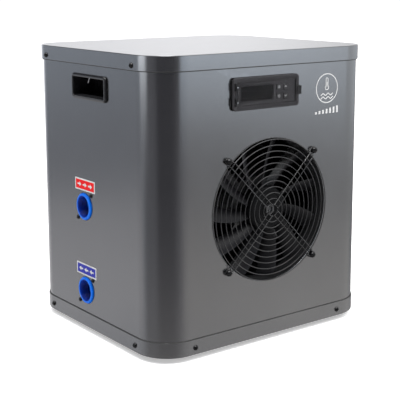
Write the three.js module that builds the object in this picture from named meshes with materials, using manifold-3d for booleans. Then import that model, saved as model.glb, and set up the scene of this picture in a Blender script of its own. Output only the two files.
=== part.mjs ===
// A small pool heat pump: a rounded sheet-metal case with an axial fan behind a wire guard, a panel
// controller under a flip cover, two water unions, and the compressor, evaporator and water heat
// exchanger inside. Millimetres, +Z up, front towards -Y, origin on the floor under the middle.
import * as THREE from "three";
import { mergeVertices } from "three/addons/utils/BufferGeometryUtils.js";
import Module from "manifold-3d";

const wasm = await Module();
wasm.setup();

// ---- Driving dimensions ----------------------------------------------------------------------
const CASE = { width: 388, depth: 340, corner: 50, sheet: 1.2 };
const FOOT_HEIGHT = 8;
const UNIT_HEIGHT = 420;
const BASE = { skirt: 22, gap: 0.3, sheet: 1 };
const LID = { skirt: 21, overhang: 2.5, sheet: 1 };
const GAP = 0.3; // clear space between two pieces that touch
const FAN = { x: 1, z: 193.4, opening: 103.5, screwOffset: 78.5 };
const GUARD = { y: -4, ringPitch: 8.49, rings: 12, wire: 0.9, eye: 4.3 };
const IMPELLER = { hub: 33, tip: 99.5, blades: 11, hubLength: 26, phase: -6.6 };
const CONTROL = { x: -12.3, z: 362.6, width: 118.4, height: 45.3 };
const PLATE = { width: 103.2, height: 39.2, proud: 4.9, back: 1.6 };
const HINGE = { x: -56.3, y: -7.3, barrel: 1.7, knuckleZ: 10.3, knuckle: 5 };
const COVER = { front: 9, rim: 5.6, wall: 1.2 };
const HANDLE = { y: -3.8, z: 366.8, width: 93.6, height: 36.6, depth: 36, proud: 3.8 };
const UNION = { y: 18.5, inletZ: 64.5, outletZ: 191, proud: 2.8, ring: 19.75, bore: 15.2 };
const EXCHANGER = { x: -128, radius: 50, wall: 4, bottom: 13.9, top: 214 };
const COIL = { radius: 30, tube: 5, turns: 5, bottom: 92, top: 188, tailTop: 236 };
const COMPRESSOR = { x: 118, y: 20, radius: 55, bottom: 24, top: 232 };
const EVAPORATOR = { half: 150, front: 120, back: 152, bottom: 40, top: 384 };
const EBOX = { left: 62, right: 172, front: -141, back: -52, bottom: 306, top: 392, wall: 1.2 };
const GLAND = { y: 100, z: 70, proud: 16, bore: 5, hole: 8.6 };
const DRIER = { x: -70, y: 92, bottom: 215, top: 285, radius: 10 };
const ACCUMULATOR = { x: 52, y: 74, bottom: 60, top: 190, radius: 26 };

const FRONT = -CASE.depth / 2;
const LEFT = -CASE.width / 2;
const CASE_TOP = UNIT_HEIGHT - LID.sheet - 1.5;

// ---- Materials -------------------------------------------------------------------------------
const paint = (color, roughness, metalness) =>
  new THREE.MeshStandardMaterial({ color, roughness, metalness });
const casePaint = paint(0x6d7073, 0.45, 0.3);
const lidPaint = paint(0x8b8e92, 0.4, 0.3);
const blackPlastic = paint(0x101113, 0.5, 0);
const fanPlastic = paint(0x2b2a2e, 0.5, 0);
const blackWire = paint(0x1a1a1c, 0.3, 0.5);
const darkScrew = paint(0x242426, 0.25, 0.8);
const greyPlastic = paint(0x4a4a4e, 0.6, 0);
const screenBlack = paint(0x161617, 0.3, 0);
const clearPlastic = paint(0x8c8f93, 0.15, 0);
const blueFitting = paint(0x0a6bdc, 0.4, 0);
const rubber = paint(0x151515, 0.9, 0);
const copper = paint(0xb46b3f, 0.35, 1);
const aluminium = paint(0xb9bcc0, 0.45, 1);
const zincSteel = paint(0x9a9da1, 0.5, 0.9);
const titanium = paint(0x8f8a84, 0.35, 1);
const whitePvc = paint(0xd9d9d4, 0.55, 0);
const blackSteel = paint(0x1d1e20, 0.45, 0.6);
const brass = paint(0xb79a4d, 0.35, 1);
const boardGreen = paint(0x1d5b34, 0.6, 0);

// ---- Geometry helpers ------------------------------------------------------------------------
// A closed three.js geometry as a solid that can be joined and cut.
function toSolid(geometry) {
  const bare = geometry.index ? geometry.toNonIndexed() : geometry.clone();
  bare.deleteAttribute("normal");
  bare.deleteAttribute("uv");
  const merged = mergeVertices(bare, 1e-4);
  const corners = merged.index.array;
  const kept = [];
  for (let i = 0; i < corners.length; i += 3) {
    const [a, b, c] = [corners[i], corners[i + 1], corners[i + 2]];
    if (a !== b && b !== c && a !== c) kept.push(a, b, c);
  }
  return new wasm.Manifold(
    new wasm.Mesh({
      numProp: 3,
      vertProperties: merged.attributes.position.array,
      triVerts: new Uint32Array(kept),
    }),
  );
}

function toGeometry(solid) {
  const { numProp, vertProperties, triVerts } = solid.getMesh();
  const geometry = new THREE.BufferGeometry();
  const data = new THREE.InterleavedBuffer(vertProperties, numProp);
  geometry.setAttribute("position", new THREE.InterleavedBufferAttribute(data, 3, 0));
  geometry.setIndex(new THREE.BufferAttribute(triVerts, 1));
  const plain = geometry.toNonIndexed();
  plain.computeVertexNormals();
  return plain;
}

const join = (geometries) => toGeometry(geometries.map(toSolid).reduce((a, b) => a.add(b)));
const cut = (body, tools) =>
  toGeometry(tools.map(toSolid).reduce((a, b) => a.subtract(b), toSolid(body)));

function piece(parent, name, geometry, material, position = [0, 0, 0]) {
  const mesh = new THREE.Mesh(geometry, material);
  mesh.name = name;
  mesh.position.set(...position);
  parent.add(mesh);
  return mesh;
}

function box(low, high) {
  const size = high.map((v, i) => v - low[i]);
  const middle = high.map((v, i) => (v + low[i]) / 2);
  return new THREE.BoxGeometry(...size).translate(...middle);
}

// A rectangle with round corners about (cx, cy), as a shape or a hole.
function roundRect(width, height, radius, cx = 0, cy = 0, Kind = THREE.Shape) {
  const [w, h] = [width / 2, height / 2];
  const path = new Kind();
  path.moveTo(cx + w - radius, cy - h);
  path.absarc(cx + w - radius, cy - h + radius, radius, -Math.PI / 2, 0, false);
  path.absarc(cx + w - radius, cy + h - radius, radius, 0, Math.PI / 2, false);
  path.absarc(cx - w + radius, cy + h - radius, radius, Math.PI / 2, Math.PI, false);
  path.absarc(cx - w + radius, cy - h + radius, radius, Math.PI, Math.PI * 1.5, false);
  path.closePath();
  return path;
}

function circle(radius, cx = 0, cy = 0, Kind = THREE.Path) {
  const path = new Kind();
  path.absarc(cx, cy, radius, 0, Math.PI * 2, false);
  return path;
}

// A shape in X and Y pushed up from z0 to z1.
function upright(shape, z0, z1, curveSegments = 7) {
  const options = { depth: z1 - z0, bevelEnabled: false, curveSegments };
  return new THREE.ExtrudeGeometry(shape, options).translate(0, 0, z0);
}

// A shape in X and Z, as seen from the front, pushed from y0 to y1.
function facing(shape, y0, y1, curveSegments = 6) {
  return upright(shape, -y1, -y0, curveSegments).rotateX(Math.PI / 2);
}

// A shape in Y and Z pushed from x0 to x1.
function sideways(shape, x0, x1, curveSegments = 6) {
  const turn = new THREE.Matrix4().set(0, 0, 1, 0, 1, 0, 0, 0, 0, 1, 0, 0, 0, 0, 0, 1);
  return upright(shape, x0, x1, curveSegments).applyMatrix4(turn);
}

// A profile of [radius, height] points, counter-clockwise, turned about Y.
function turned(profile, segments, closed = true) {
  const points = profile.map(([r, y]) => new THREE.Vector2(r, y));
  if (closed) points.push(points[0].clone());
  return new THREE.LatheGeometry(points, segments);
}
const turnedUp = (...args) => turned(...args).rotateX(Math.PI / 2);
const turnedAlongX = (...args) => turned(...args).rotateZ(-Math.PI / 2);

// A straight round bar between two points.
function rod(from, to, radius, sides = 6) {
  const [a, b] = [new THREE.Vector3(...from), new THREE.Vector3(...to)];
  const way = b.clone().sub(a);
  const turn = new THREE.Quaternion().setFromUnitVectors(
    new THREE.Vector3(0, 1, 0),
    way.clone().normalize(),
  );
  const bar = new THREE.CylinderGeometry(radius, radius, way.length(), sides);
  const middle = a.add(b).multiplyScalar(0.5);
  return bar.applyQuaternion(turn).translate(middle.x, middle.y, middle.z);
}

// A round tube or wire along a smooth curve through the points.
function tube(points, radius, steps, sides = 6) {
  const curve = new THREE.CatmullRomCurve3(
    points.map((p) => new THREE.Vector3(...p)),
    false,
    "centripetal",
  );
  const section = new THREE.Shape();
  for (let i = 0; i < sides; i++) {
    const a = (i / sides) * Math.PI * 2;
    section[i ? "lineTo" : "moveTo"](radius * Math.cos(a), radius * Math.sin(a));
  }
  return new THREE.ExtrudeGeometry(section, { steps, extrudePath: curve, bevelEnabled: false });
}

const caseOutline = (grow, Kind = THREE.Shape) =>
  roundRect(
    CASE.width + 2 * grow,
    CASE.depth + 2 * grow,
    CASE.corner + grow,
    0,
    0,
    Kind,
  );

// ---- Case ------------------------------------------------------------------------------------
// The base tray stands on the feet and its skirt wraps the bottom of the case.
function basePan() {
  const tray = upright(caseOutline(BASE.gap + BASE.sheet), FOOT_HEIGHT, FOOT_HEIGHT + BASE.skirt);
  const hollow = upright(
    caseOutline(BASE.gap),
    FOOT_HEIGHT + BASE.sheet,
    FOOT_HEIGHT + BASE.skirt + 1,
  );
  const drain = upright(circle(6, -60, 60, THREE.Shape), 0, 20, 8);
  return cut(tray, [hollow, drain]);
}

// One sheet makes the front, both sides and two narrow returns at the back.
function wrapPanel() {
  const wall = caseOutline(0);
  wall.holes.push(caseOutline(-CASE.sheet, THREE.Path));
  const bottom = FOOT_HEIGHT + BASE.sheet + GAP;
  const backWindow = box([-128, 140, 0], [128, 200, 500]);
  const fanHole = facing(circle(FAN.opening, FAN.x, FAN.z, THREE.Shape), -200, -140, 26);
  const controlHole = facing(roundRect(97.5, 35.5, 1, CONTROL.x, CONTROL.z), -200, -150, 1);
  const screwHoles = [-1, 1].flatMap((sx) =>
    [-1, 1].map((sz) => {
      const [x, z] = [FAN.x + sx * FAN.screwOffset, FAN.z + sz * FAN.screwOffset];
      return facing(circle(2.3, x, z, THREE.Shape), -200, -150, 4);
    }),
  );
  const grip = roundRect(HANDLE.width - 5, HANDLE.height - 4, 3, HANDLE.y, HANDLE.z);
  const leftGrip = sideways(grip, -220, -180, 3);
  const rightGrip = sideways(grip, 180, 220, 3);
  const unionHoles = [UNION.inletZ, UNION.outletZ].map((z) =>
    sideways(circle(UNION.ring + 0.4, UNION.y, z, THREE.Shape), -220, -180, 14),
  );
  const glandHole = sideways(circle(GLAND.hole, GLAND.y, GLAND.z, THREE.Shape), 180, 220, 6);
  return cut(upright(wall, bottom, CASE_TOP), [
    backWindow,
    fanHole,
    controlHole,
    ...screwHoles,
    leftGrip,
    rightGrip,
    ...unionHoles,
    glandHole,
  ]);
}

// The back sheet has two columns of air slots in front of the evaporator.
function rearPanel() {
  const sheet = roundRect(272, CASE_TOP - 10, 2, 0, (CASE_TOP + 10) / 2);
  const slot = { width: 118, height: 13, pitch: 20, first: 58, rows: 16, offset: 66 };
  const outside = -FRONT - CASE.sheet - GAP;
  const slots = [];
  for (let row = 0; row < slot.rows; row++)
    for (const side of [-1, 1]) {
      const [x, z] = [side * slot.offset, slot.first + row * slot.pitch];
      const [w, h] = [slot.width / 2, slot.height / 2];
      slots.push(box([x - w, outside - 9, z - h], [x + w, outside + 9, z + h]));
    }
  return cut(facing(sheet, outside - CASE.sheet, outside, 1), slots);
}

function topLid() {
  const outer = upright(caseOutline(LID.overhang), UNIT_HEIGHT - LID.skirt, UNIT_HEIGHT);
  const inner = upright(
    caseOutline(LID.overhang - LID.sheet),
    UNIT_HEIGHT - LID.skirt - 1,
    UNIT_HEIGHT - LID.sheet,
  );
  return cut(outer, [inner]);
}

const foot = () =>
  turnedUp(
    [
      [0, 0],
      [12.5, 0],
      [14, 2],
      [14, FOOT_HEIGHT - GAP],
      [0, FOOT_HEIGHT - GAP],
    ],
    14,
    false,
  );

// A black moulded cup pushed through the side wall: x runs outwards from the case.
function handleCup(side) {
  const outside = (CASE.width / 2) * side;
  const [w, h] = [HANDLE.width, HANDLE.height];
  const from = (a, b) => [outside + side * a, outside + side * b].sort((p, q) => p - q);
  const rim = sideways(roundRect(w, h, 5, HANDLE.y, HANDLE.z), ...from(GAP, HANDLE.proud), 4);
  const cup = sideways(
    roundRect(w - 6, h - 5, 2.5, HANDLE.y, HANDLE.z),
    ...from(GAP + 0.2, -HANDLE.depth),
    3,
  );
  const hollow = sideways(
    roundRect(w - 10, h - 9, 3, HANDLE.y, HANDLE.z),
    ...from(HANDLE.proud + 2, -HANDLE.depth + 1.6),
    3,
  );
  return toGeometry(toSolid(rim).add(toSolid(cup)).subtract(toSolid(hollow)));
}

function buildCase(unit) {
  const casing = new THREE.Group();
  unit.add(casing);
  piece(casing, "base_pan", basePan(), casePaint);
  piece(casing, "wrap_panel", wrapPanel(), casePaint);
  piece(casing, "rear_grille_panel", rearPanel(), casePaint);
  piece(casing, "top_lid", topLid(), lidPaint);
  piece(casing, "handle_cup_left", handleCup(-1), blackPlastic);
  piece(casing, "handle_cup_right", handleCup(1), blackPlastic);
  const footAt = {
    front_left: [-1, -1],
    front_right: [1, -1],
    rear_left: [-1, 1],
    rear_right: [1, 1],
  };
  for (const [corner, [sx, sy]] of Object.entries(footAt))
    piece(casing, `foot_${corner}`, foot(), rubber, [sx * 140, sy * 115, 0]);
}

// ---- Fan -------------------------------------------------------------------------------------
// Here the origin is the middle of the fan opening on the case's front face and +Y runs inwards.
const SHROUD = { inner: 102.4, outer: 104.6, flange: 118, back: 39, flare: 111 };
const BRACKET = { front: SHROUD.back + GAP, thick: 2 };

const fanShroud = () => {
  const flanged = turned(
    [
      [SHROUD.inner, 1.5],
      [SHROUD.flange, 1.5],
      [SHROUD.flange, 3.5],
      [SHROUD.outer, 3.5],
      [SHROUD.outer, 30],
      [SHROUD.flare, 37],
      [SHROUD.flare, SHROUD.back],
      [SHROUD.flare - 2.4, SHROUD.back],
      [SHROUD.inner, 31],
    ],
    32,
  );
  const reach = FAN.screwOffset;
  const holes = [-1, 1].flatMap((sx) =>
    [-1, 1].map((sz) => rod([sx * reach, 0, sz * reach], [sx * reach, 8, sz * reach], 2.3, 8)),
  );
  return cut(flanged, holes);
};

// Concentric wire rings carried by four double arms, each ending in an eye for a screw.
function fanGuard() {
  const { wire, eye } = GUARD;
  const armY = GUARD.y - 1.6 * wire;
  const eyeY = -GAP - wire;
  const eyeAt = FAN.screwOffset * Math.SQRT2;
  const bendAt = FAN.opening;
  const parts = [];
  for (let k = 1; k <= GUARD.rings; k++) {
    const segments = Math.round(10 + 1.2 * k);
    const ring = new THREE.TorusGeometry(k * GUARD.ringPitch, wire, 4, segments);
    parts.push(ring.rotateX(Math.PI / 2).translate(0, GUARD.y, 0));
  }
  for (let arm = 0; arm < 4; arm++) {
    const turn = Math.PI / 4 + (arm * Math.PI) / 2;
    const pair = [-eye, eye].flatMap((z) => [
      rod([6, armY, z], [bendAt, armY, z], wire, 4),
      rod([bendAt - 0.5, armY, z], [bendAt + 2.6, eyeY, z], wire, 4),
      rod([bendAt + 2.2, eyeY, z], [eyeAt, eyeY, z], wire, 4),
    ]);
    const loop = new THREE.TorusGeometry(eye, wire, 4, 12).rotateX(Math.PI / 2);
    for (const g of [...pair, loop.translate(eyeAt, eyeY, 0)]) parts.push(g.rotateY(-turn));
  }
  return join(parts);
}

const guardScrew = () =>
  turned(
    [
      [0, -8.2],
      [2.6, -7.5],
      [4.5, -5.5],
      [5, -2.8],
      [1.9, -2.8],
      [1.9, 6],
      [0, 6],
    ],
    8,
    false,
  );

// One twisted blade about its own middle line; the edge on the clockwise side lies deeper.
function blade() {
  const stations = 5;
  const across = 3;
  const thickness = 1.7;
  const middleY = 20;
  const root = IMPELLER.hub - 2;
  const vertices = [];
  for (let i = 0; i < stations; i++) {
    const t = i / (stations - 1);
    const r = root + (IMPELLER.tip - root) * t;
    const chord = 19 + 10 * t;
    const pitch = THREE.MathUtils.degToRad(50 - 16 * t);
    const sweep = THREE.MathUtils.degToRad(-14 * t);
    for (const side of [-0.5, 0.5])
      for (let j = 0; j < across; j++) {
        const s = j / (across - 1) - 0.5;
        const camber = 2.2 * (1 - 4 * s * s);
        const tangent = s * chord * Math.cos(pitch) + side * thickness * Math.sin(pitch);
        const y = middleY - s * chord * Math.sin(pitch) + side * thickness * Math.cos(pitch) - camber;
        const a = sweep + tangent / r;
        vertices.push(r * Math.cos(a), y, r * Math.sin(a));
      }
  }
  const at = (i, side, j) => i * 2 * across + side * across + j;
  const faces = [];
  const quad = (a, b, c, d) => faces.push(a, b, c, a, c, d);
  for (let i = 0; i < stations - 1; i++) {
    for (let j = 0; j < across - 1; j++) {
      quad(at(i, 0, j), at(i + 1, 0, j), at(i + 1, 0, j + 1), at(i, 0, j + 1));
      quad(at(i, 1, j), at(i, 1, j + 1), at(i + 1, 1, j + 1), at(i + 1, 1, j));
    }
    const last = across - 1;
    quad(at(i, 0, 0), at(i, 1, 0), at(i + 1, 1, 0), at(i + 1, 0, 0));
    quad(at(i, 0, last), at(i + 1, 0, last), at(i + 1, 1, last), at(i, 1, last));
  }
  const end = stations - 1;
  for (let j = 0; j < across - 1; j++) {
    quad(at(0, 0, j), at(0, 0, j + 1), at(0, 1, j + 1), at(0, 1, j));
    quad(at(end, 0, j), at(end, 1, j), at(end, 1, j + 1), at(end, 0, j + 1));
  }
  const geometry = new THREE.BufferGeometry();
  geometry.setAttribute("position", new THREE.Float32BufferAttribute(vertices, 3));
  geometry.setIndex(faces);
  return geometry;
}

function impeller() {
  const back = 6 + IMPELLER.hubLength;
  const hub = turned(
    [
      [4.3, 6],
      [28, 6],
      [31.5, 7.4],
      [IMPELLER.hub, 11],
      [IMPELLER.hub, back],
      [IMPELLER.hub - 3, back],
      [IMPELLER.hub - 3, 10],
      [11, 10],
      [11, back - 2],
      [4.3, back - 2],
    ],
    20,
  );
  const blades = [];
  for (let i = 0; i < IMPELLER.blades; i++) {
    const degrees = IMPELLER.phase + (i * 360) / IMPELLER.blades;
    blades.push(blade().rotateY(-THREE.MathUtils.degToRad(degrees)));
  }
  const inside = IMPELLER.hub - 1;
  const core = toSolid(turned([[0, 0], [inside, 0], [inside, 50], [0, 50]], 24, false));
  const trimmed = blades.map((b) => toSolid(b).subtract(core));
  return toGeometry(trimmed.reduce((a, b) => a.add(b), toSolid(hub)));
}

const motor = () =>
  turned(
    [
      [0, 64],
      [4.4, 64],
      [4.4, 42],
      [14, 42],
      [14, 46],
      [35, 47],
      [38, 50],
      [38, 88],
      [34, 94],
      [0, 94],
    ],
    22,
    false,
  );

function motorBracket() {
  const plate = circle(42, 0, 0, THREE.Shape);
  plate.holes.push(circle(16));
  const { front, thick } = BRACKET;
  const arms = [0, 1].map((i) =>
    box([-112, front, -7], [112, front + thick, 7]).rotateY(Math.PI / 4 + (i * Math.PI) / 2),
  );
  const hole = facing(circle(16, 0, 0, THREE.Shape), 0, 60, 8);
  return cut(join([facing(plate, front, front + thick, 14), ...arms]), [hole]);
}

function buildFan(unit) {
  const fan = new THREE.Group();
  fan.position.set(FAN.x, FRONT, FAN.z);
  unit.add(fan);
  piece(fan, "fan_shroud", fanShroud(), blackPlastic);
  piece(fan, "fan_guard", fanGuard(), blackWire);
  const corners = {
    upper_left: [-1, 1],
    upper_right: [1, 1],
    lower_left: [-1, -1],
    lower_right: [1, -1],
  };
  for (const [corner, [sx, sz]] of Object.entries(corners))
    piece(fan, `guard_screw_${corner}`, guardScrew(), darkScrew, [
      sx * FAN.screwOffset,
      0,
      sz * FAN.screwOffset,
    ]);
  piece(fan, "fan_impeller", impeller(), fanPlastic);
  piece(fan, "fan_shaft", turned([[0, 3], [4, 3], [4, 62], [0, 62]], 12, false), zincSteel);
  piece(fan, "fan_hub_nut", turned([[5, 1.8], [8, 1.8], [8, 5.7], [5, 5.7]], 6), blackSteel);
  piece(fan, "fan_motor", motor(), blackSteel);
  piece(fan, "motor_bracket", motorBracket(), blackSteel);
}

// ---- Controller ------------------------------------------------------------------------------
// Here the origin is the middle of the controller on the case's front face and +Y runs inwards.
const WINDOW = { x: -17.5, z: 0.4, width: 56.2, height: 20.2 };
const BUTTON = { size: 8, flange: 10.4, slack: 0.3 };
const BUTTONS = { set: [21.4, 6.1], up: [33.7, 6.1], down: [33.7, -6.6], power: [21.4, -6.6] };

function controllerBezel() {
  const frame = roundRect(CONTROL.width, CONTROL.height, 5);
  frame.holes.push(roundRect(PLATE.width + 0.6, PLATE.height + 0.6, 1.5, 0, 0, THREE.Path));
  const back = -PLATE.back;
  const ring = facing(frame, -5.3, back, 3);
  const lugs = [-1, 1].flatMap((half) => {
    const middle = half * HINGE.knuckleZ;
    const reach = HINGE.knuckle / 2 + 0.4;
    return [-1, 1].map((side) => {
      const [a, b] = [middle + side * reach, middle + side * (reach + 2)].sort((p, q) => p - q);
      return box([HINGE.x - 1.8, HINGE.y - 1.4, a], [HINGE.x + 1.6, -5, b]);
    });
  });
  const pinHole = rod([HINGE.x, HINGE.y, -20], [HINGE.x, HINGE.y, 20], 0.95, 8);
  return cut(join([ring, ...lugs]), [pinHole]);
}

function controllerGasket() {
  const ring = roundRect(115, 42.5, 4);
  ring.holes.push(roundRect(97, 35, 1, 0, 0, THREE.Path));
  return facing(ring, -1.3, -GAP, 3);
}

// The front plate and the box behind it are one moulding, open at the back.
function controllerModule() {
  const front = roundRect(PLATE.width, PLATE.height, 1.2);
  for (const [x, z] of Object.values(BUTTONS)) {
    const side = BUTTON.size + 2 * BUTTON.slack;
    front.holes.push(roundRect(side, side, 0.8, x, z, THREE.Path));
  }
  const plate = facing(front, -PLATE.proud, -PLATE.back, 2);
  const pocket = facing(
    roundRect(WINDOW.width + 0.5, WINDOW.height + 0.5, 0.6, WINDOW.x, WINDOW.z),
    -PLATE.proud - 1,
    -PLATE.proud + 1.3,
    1,
  );
  const walls = roundRect(96, 34, 1);
  walls.holes.push(roundRect(93, 31, 1, 0, 0, THREE.Path));
  const body = facing(walls, -PLATE.back - 0.2, 52, 1);
  return toGeometry(toSolid(plate).subtract(toSolid(pocket)).add(toSolid(body)));
}

// A keycap in the front plate, with a flange behind the plate that keeps it in.
function button(x, z) {
  const cap = facing(roundRect(BUTTON.size, BUTTON.size, 0.8, x, z), -5.9, -0.5, 1);
  const flange = facing(roundRect(BUTTON.flange, BUTTON.flange, 0.8, x, z), -1.3, -0.5, 1);
  return join([cap, flange]);
}

// The switch board stands behind the keys, with one low switch body for each of them.
function controllerBoard() {
  const switches = Object.values(BUTTONS).map(([x, z]) => box([x - 3, 0.9, z - 3], [x + 3, 3.2, z + 3]));
  return join([box([-45, 3, -14.5], [45, 4.6, 14.5]), ...switches]);
}

// A clear lid hinged at the left, with a latch tab that hooks over the right side of the bezel.
function flipCover() {
  const [left, right, half] = [-53.9, 54.5, 21.6];
  const { front, rim, wall } = COVER;
  const lid = (grow, y0, y1) =>
    facing(
      roundRect(right - left - 2 * grow, 2 * (half - grow), 3.2 - grow, (left + right) / 2, 0),
      y0,
      y1,
      3,
    );
  const tray = toSolid(lid(0, -front, -rim)).subtract(toSolid(lid(wall, -front + wall, 0)));
  const knuckles = [-1, 1].flatMap((side) => {
    const [a, b] = [side * HINGE.knuckleZ - HINGE.knuckle / 2, side * HINGE.knuckleZ + HINGE.knuckle / 2];
    const arm = box([HINGE.x, -front, a], [left + 2, -front + wall, b]);
    return [rod([HINGE.x, HINGE.y, a], [HINGE.x, HINGE.y, b], HINGE.barrel, 12), arm];
  });
  const tabEnd = CONTROL.width / 2 + 0.5;
  const tab = [
    box([right - 2, -front, -6], [tabEnd + 2.4, -front + wall, 6]),
    box([tabEnd, -front, -6], [tabEnd + 2.4, -2, 6]),
  ];
  const pinHole = rod([HINGE.x, HINGE.y, -20], [HINGE.x, HINGE.y, 20], 0.95, 8);
  const whole = [...knuckles, ...tab].map(toSolid).reduce((a, b) => a.add(b), tray);
  return toGeometry(whole.subtract(toSolid(pinHole)));
}

function buildController(unit) {
  const control = new THREE.Group();
  control.position.set(CONTROL.x, FRONT, CONTROL.z);
  unit.add(control);
  piece(control, "controller_bezel", controllerBezel(), greyPlastic);
  piece(control, "controller_gasket", controllerGasket(), rubber);
  piece(control, "controller_module", controllerModule(), greyPlastic);
  piece(control, "controller_back_cover", facing(roundRect(96, 34, 1), 52.3, 53.8, 1), greyPlastic);
  piece(control, "controller_board", controllerBoard(), boardGreen);
  const windowShape = roundRect(WINDOW.width, WINDOW.height, 0.5, WINDOW.x, WINDOW.z);
  piece(control, "display_window", facing(windowShape, -4.8, -3.9, 1), screenBlack);
  for (const [name, [x, z]] of Object.entries(BUTTONS))
    piece(control, `button_${name}`, button(x, z), greyPlastic);
  piece(control, "flip_cover", flipCover(), clearPlastic);
  const pin = rod([HINGE.x, HINGE.y, -15.2], [HINGE.x, HINGE.y, 15.2], 0.7, 8);
  piece(control, "cover_hinge_pin", pin, zincSteel);
}

// ---- Water side ------------------------------------------------------------------------------
// A blue threaded bush: the first number is the radius, the second the way into the case.
const waterUnion = () =>
  turnedAlongX(
    [
      [UNION.bore, -UNION.proud],
      [UNION.ring - 0.8, -UNION.proud],
      [UNION.ring, -UNION.proud + 0.9],
      [UNION.ring, 1.5],
      [31, 1.5],
      [31, 4.5],
      [UNION.ring, 4.5],
      [UNION.ring, 13.7],
      [14.6, 13.7],
      [14.6, 25],
      [11, 25],
      [11, 14.5],
      [UNION.bore, 13],
    ],
    20,
  );

function exchangerShell() {
  const { radius, wall, bottom, top } = EXCHANGER;
  const ring = circle(radius, 0, 0, THREE.Shape);
  ring.holes.push(circle(radius - wall));
  const tools = [UNION.inletZ, UNION.outletZ].map((z) =>
    rod([-radius - 5, 0, z], [-radius + 12, 0, z], 15.2, 24),
  );
  tools.push(rod([0, -radius - 5, UNION.inletZ], [0, -radius + 12, UNION.inletZ], 8.8, 16));
  return cut(upright(ring, bottom, top, 14), tools);
}

const exchangerBottom = () =>
  turnedUp(
    [
      [0, 9.5],
      [52, 9.5],
      [52, 13.6],
      [45.6, 13.6],
      [45.6, 18],
      [0, 18],
    ],
    26,
    false,
  );

function exchangerTop() {
  const cap = turnedUp(
    [
      [0, 210],
      [45.6, 210],
      [45.6, 214.3],
      [52, 214.3],
      [52, 218.4],
      [0, 218.4],
    ],
    26,
    false,
  );
  const tubeHoles = [0, COIL.radius].map((x) => rod([x, 0, 200], [x, 0, 225], COIL.tube + 0.4, 12));
  return cut(cap, tubeHoles);
}

// The refrigerant goes down the middle, round the helix and out again at the top.
function exchangerCoil() {
  const { radius, turns, bottom, top, tailTop } = COIL;
  const points = [];
  for (let z = tailTop; z > bottom; z -= 24) points.push([0, 0, z]);
  points.push([0, 0, bottom - 6], [-6, 4, bottom - 16], [-18, 8, bottom - 18]);
  const perTurn = 8;
  const start = Math.PI * 0.75;
  const span = 2 * Math.PI * turns + (2 * Math.PI - start);
  const count = Math.round((span / (2 * Math.PI)) * perTurn);
  for (let i = 1; i < count; i++) {
    const a = start + (span * i) / count;
    const z = bottom - 12 + ((top - bottom + 6) * i) / count;
    points.push([radius * Math.cos(a), radius * Math.sin(a), z]);
  }
  for (let z = top + 6; z < tailTop; z += 12) points.push([radius, 0, z]);
  points.push([radius, 0, tailTop]);
  return tube(points, COIL.tube, 84, 5);
}

// The switch body screws into the shell; its inner end is a fork that carries the paddle.
function flowSwitch() {
  const y0 = -EXCHANGER.radius;
  const body = turned(
    [
      [0, y0 - 34],
      [10.5, y0 - 34],
      [10.5, y0 - 4.5],
      [12.5, y0 - 4.5],
      [12.5, y0 - 0.6],
      [8.2, y0 - 0.6],
      [8.2, y0 + 9],
      [0, y0 + 9],
    ],
    16,
    false,
  );
  const cheeks = [-1, 1].map((s) => {
    const [a, b] = [s * 5, s * 7.4].sort((p, q) => p - q);
    return box([-3.2, y0 + 8, a], [3.2, y0 + 14.5, b]);
  });
  const pinHole = rod([0, PADDLE_PIVOT, -9], [0, PADDLE_PIVOT, 9], 1.2, 8);
  return cut(join([body, ...cheeks]), [pinHole]);
}

const PADDLE_PIVOT = -EXCHANGER.radius + 11.8;
function flowPaddle() {
  const barrel = rod([0, PADDLE_PIVOT, -4.5], [0, PADDLE_PIVOT, 4.5], 1.6, 8);
  const pin = rod([0, PADDLE_PIVOT, -7], [0, PADDLE_PIVOT, 7], 0.8, 8);
  const stem = box([-0.7, PADDLE_PIVOT, -4], [0.7, PADDLE_PIVOT + 8, 4]);
  const plate = facing(roundRect(1.4, 19, 0.1), PADDLE_PIVOT + 7, PADDLE_PIVOT + 35, 1);
  return join([barrel, pin, stem, plate]);
}

function buildWater(unit) {
  const water = new THREE.Group();
  unit.add(water);
  piece(water, "union_outlet", waterUnion(), blueFitting, [LEFT, UNION.y, UNION.outletZ]);
  piece(water, "union_inlet", waterUnion(), blueFitting, [LEFT, UNION.y, UNION.inletZ]);
  const exchanger = new THREE.Group();
  exchanger.position.set(EXCHANGER.x, UNION.y, 0);
  water.add(exchanger);
  piece(exchanger, "exchanger_shell", exchangerShell(), whitePvc);
  piece(exchanger, "exchanger_bottom_cap", exchangerBottom(), whitePvc);
  piece(exchanger, "exchanger_top_cap", exchangerTop(), whitePvc);
  piece(exchanger, "titanium_coil", exchangerCoil(), titanium);
  piece(exchanger, "flow_switch", flowSwitch(), brass, [0, 0, UNION.inletZ]);
  piece(exchanger, "flow_switch_paddle", flowPaddle(), brass, [0, 0, UNION.inletZ]);
}

// ---- Refrigeration ---------------------------------------------------------------------------
const MOUNT = { reach: 64, at: 60.2, radius: 9, top: 20.2 };
const mountAngles = [90, 210, 330].map((d) => THREE.MathUtils.degToRad(d));

function compressor() {
  const { radius, bottom, top } = COMPRESSOR;
  const can = turnedUp(
    [
      [0, bottom],
      [32, bottom + 1.5],
      [49, bottom + 9],
      [radius, bottom + 20],
      [radius, top - 24],
      [49, top - 11],
      [32, top - 3],
      [0, top],
    ],
    22,
    false,
  );
  const leg = roundRect(MOUNT.reach + 10, 22, 10, MOUNT.reach / 2, 0);
  const feet = mountAngles.map((a) => upright(leg, MOUNT.top + GAP, bottom + 1, 4).rotateZ(a));
  const ring = upright(circle(38, 0, 0, THREE.Shape), MOUNT.top + GAP, bottom + 3, 8);
  return join([can, ring, ...feet]);
}

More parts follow.
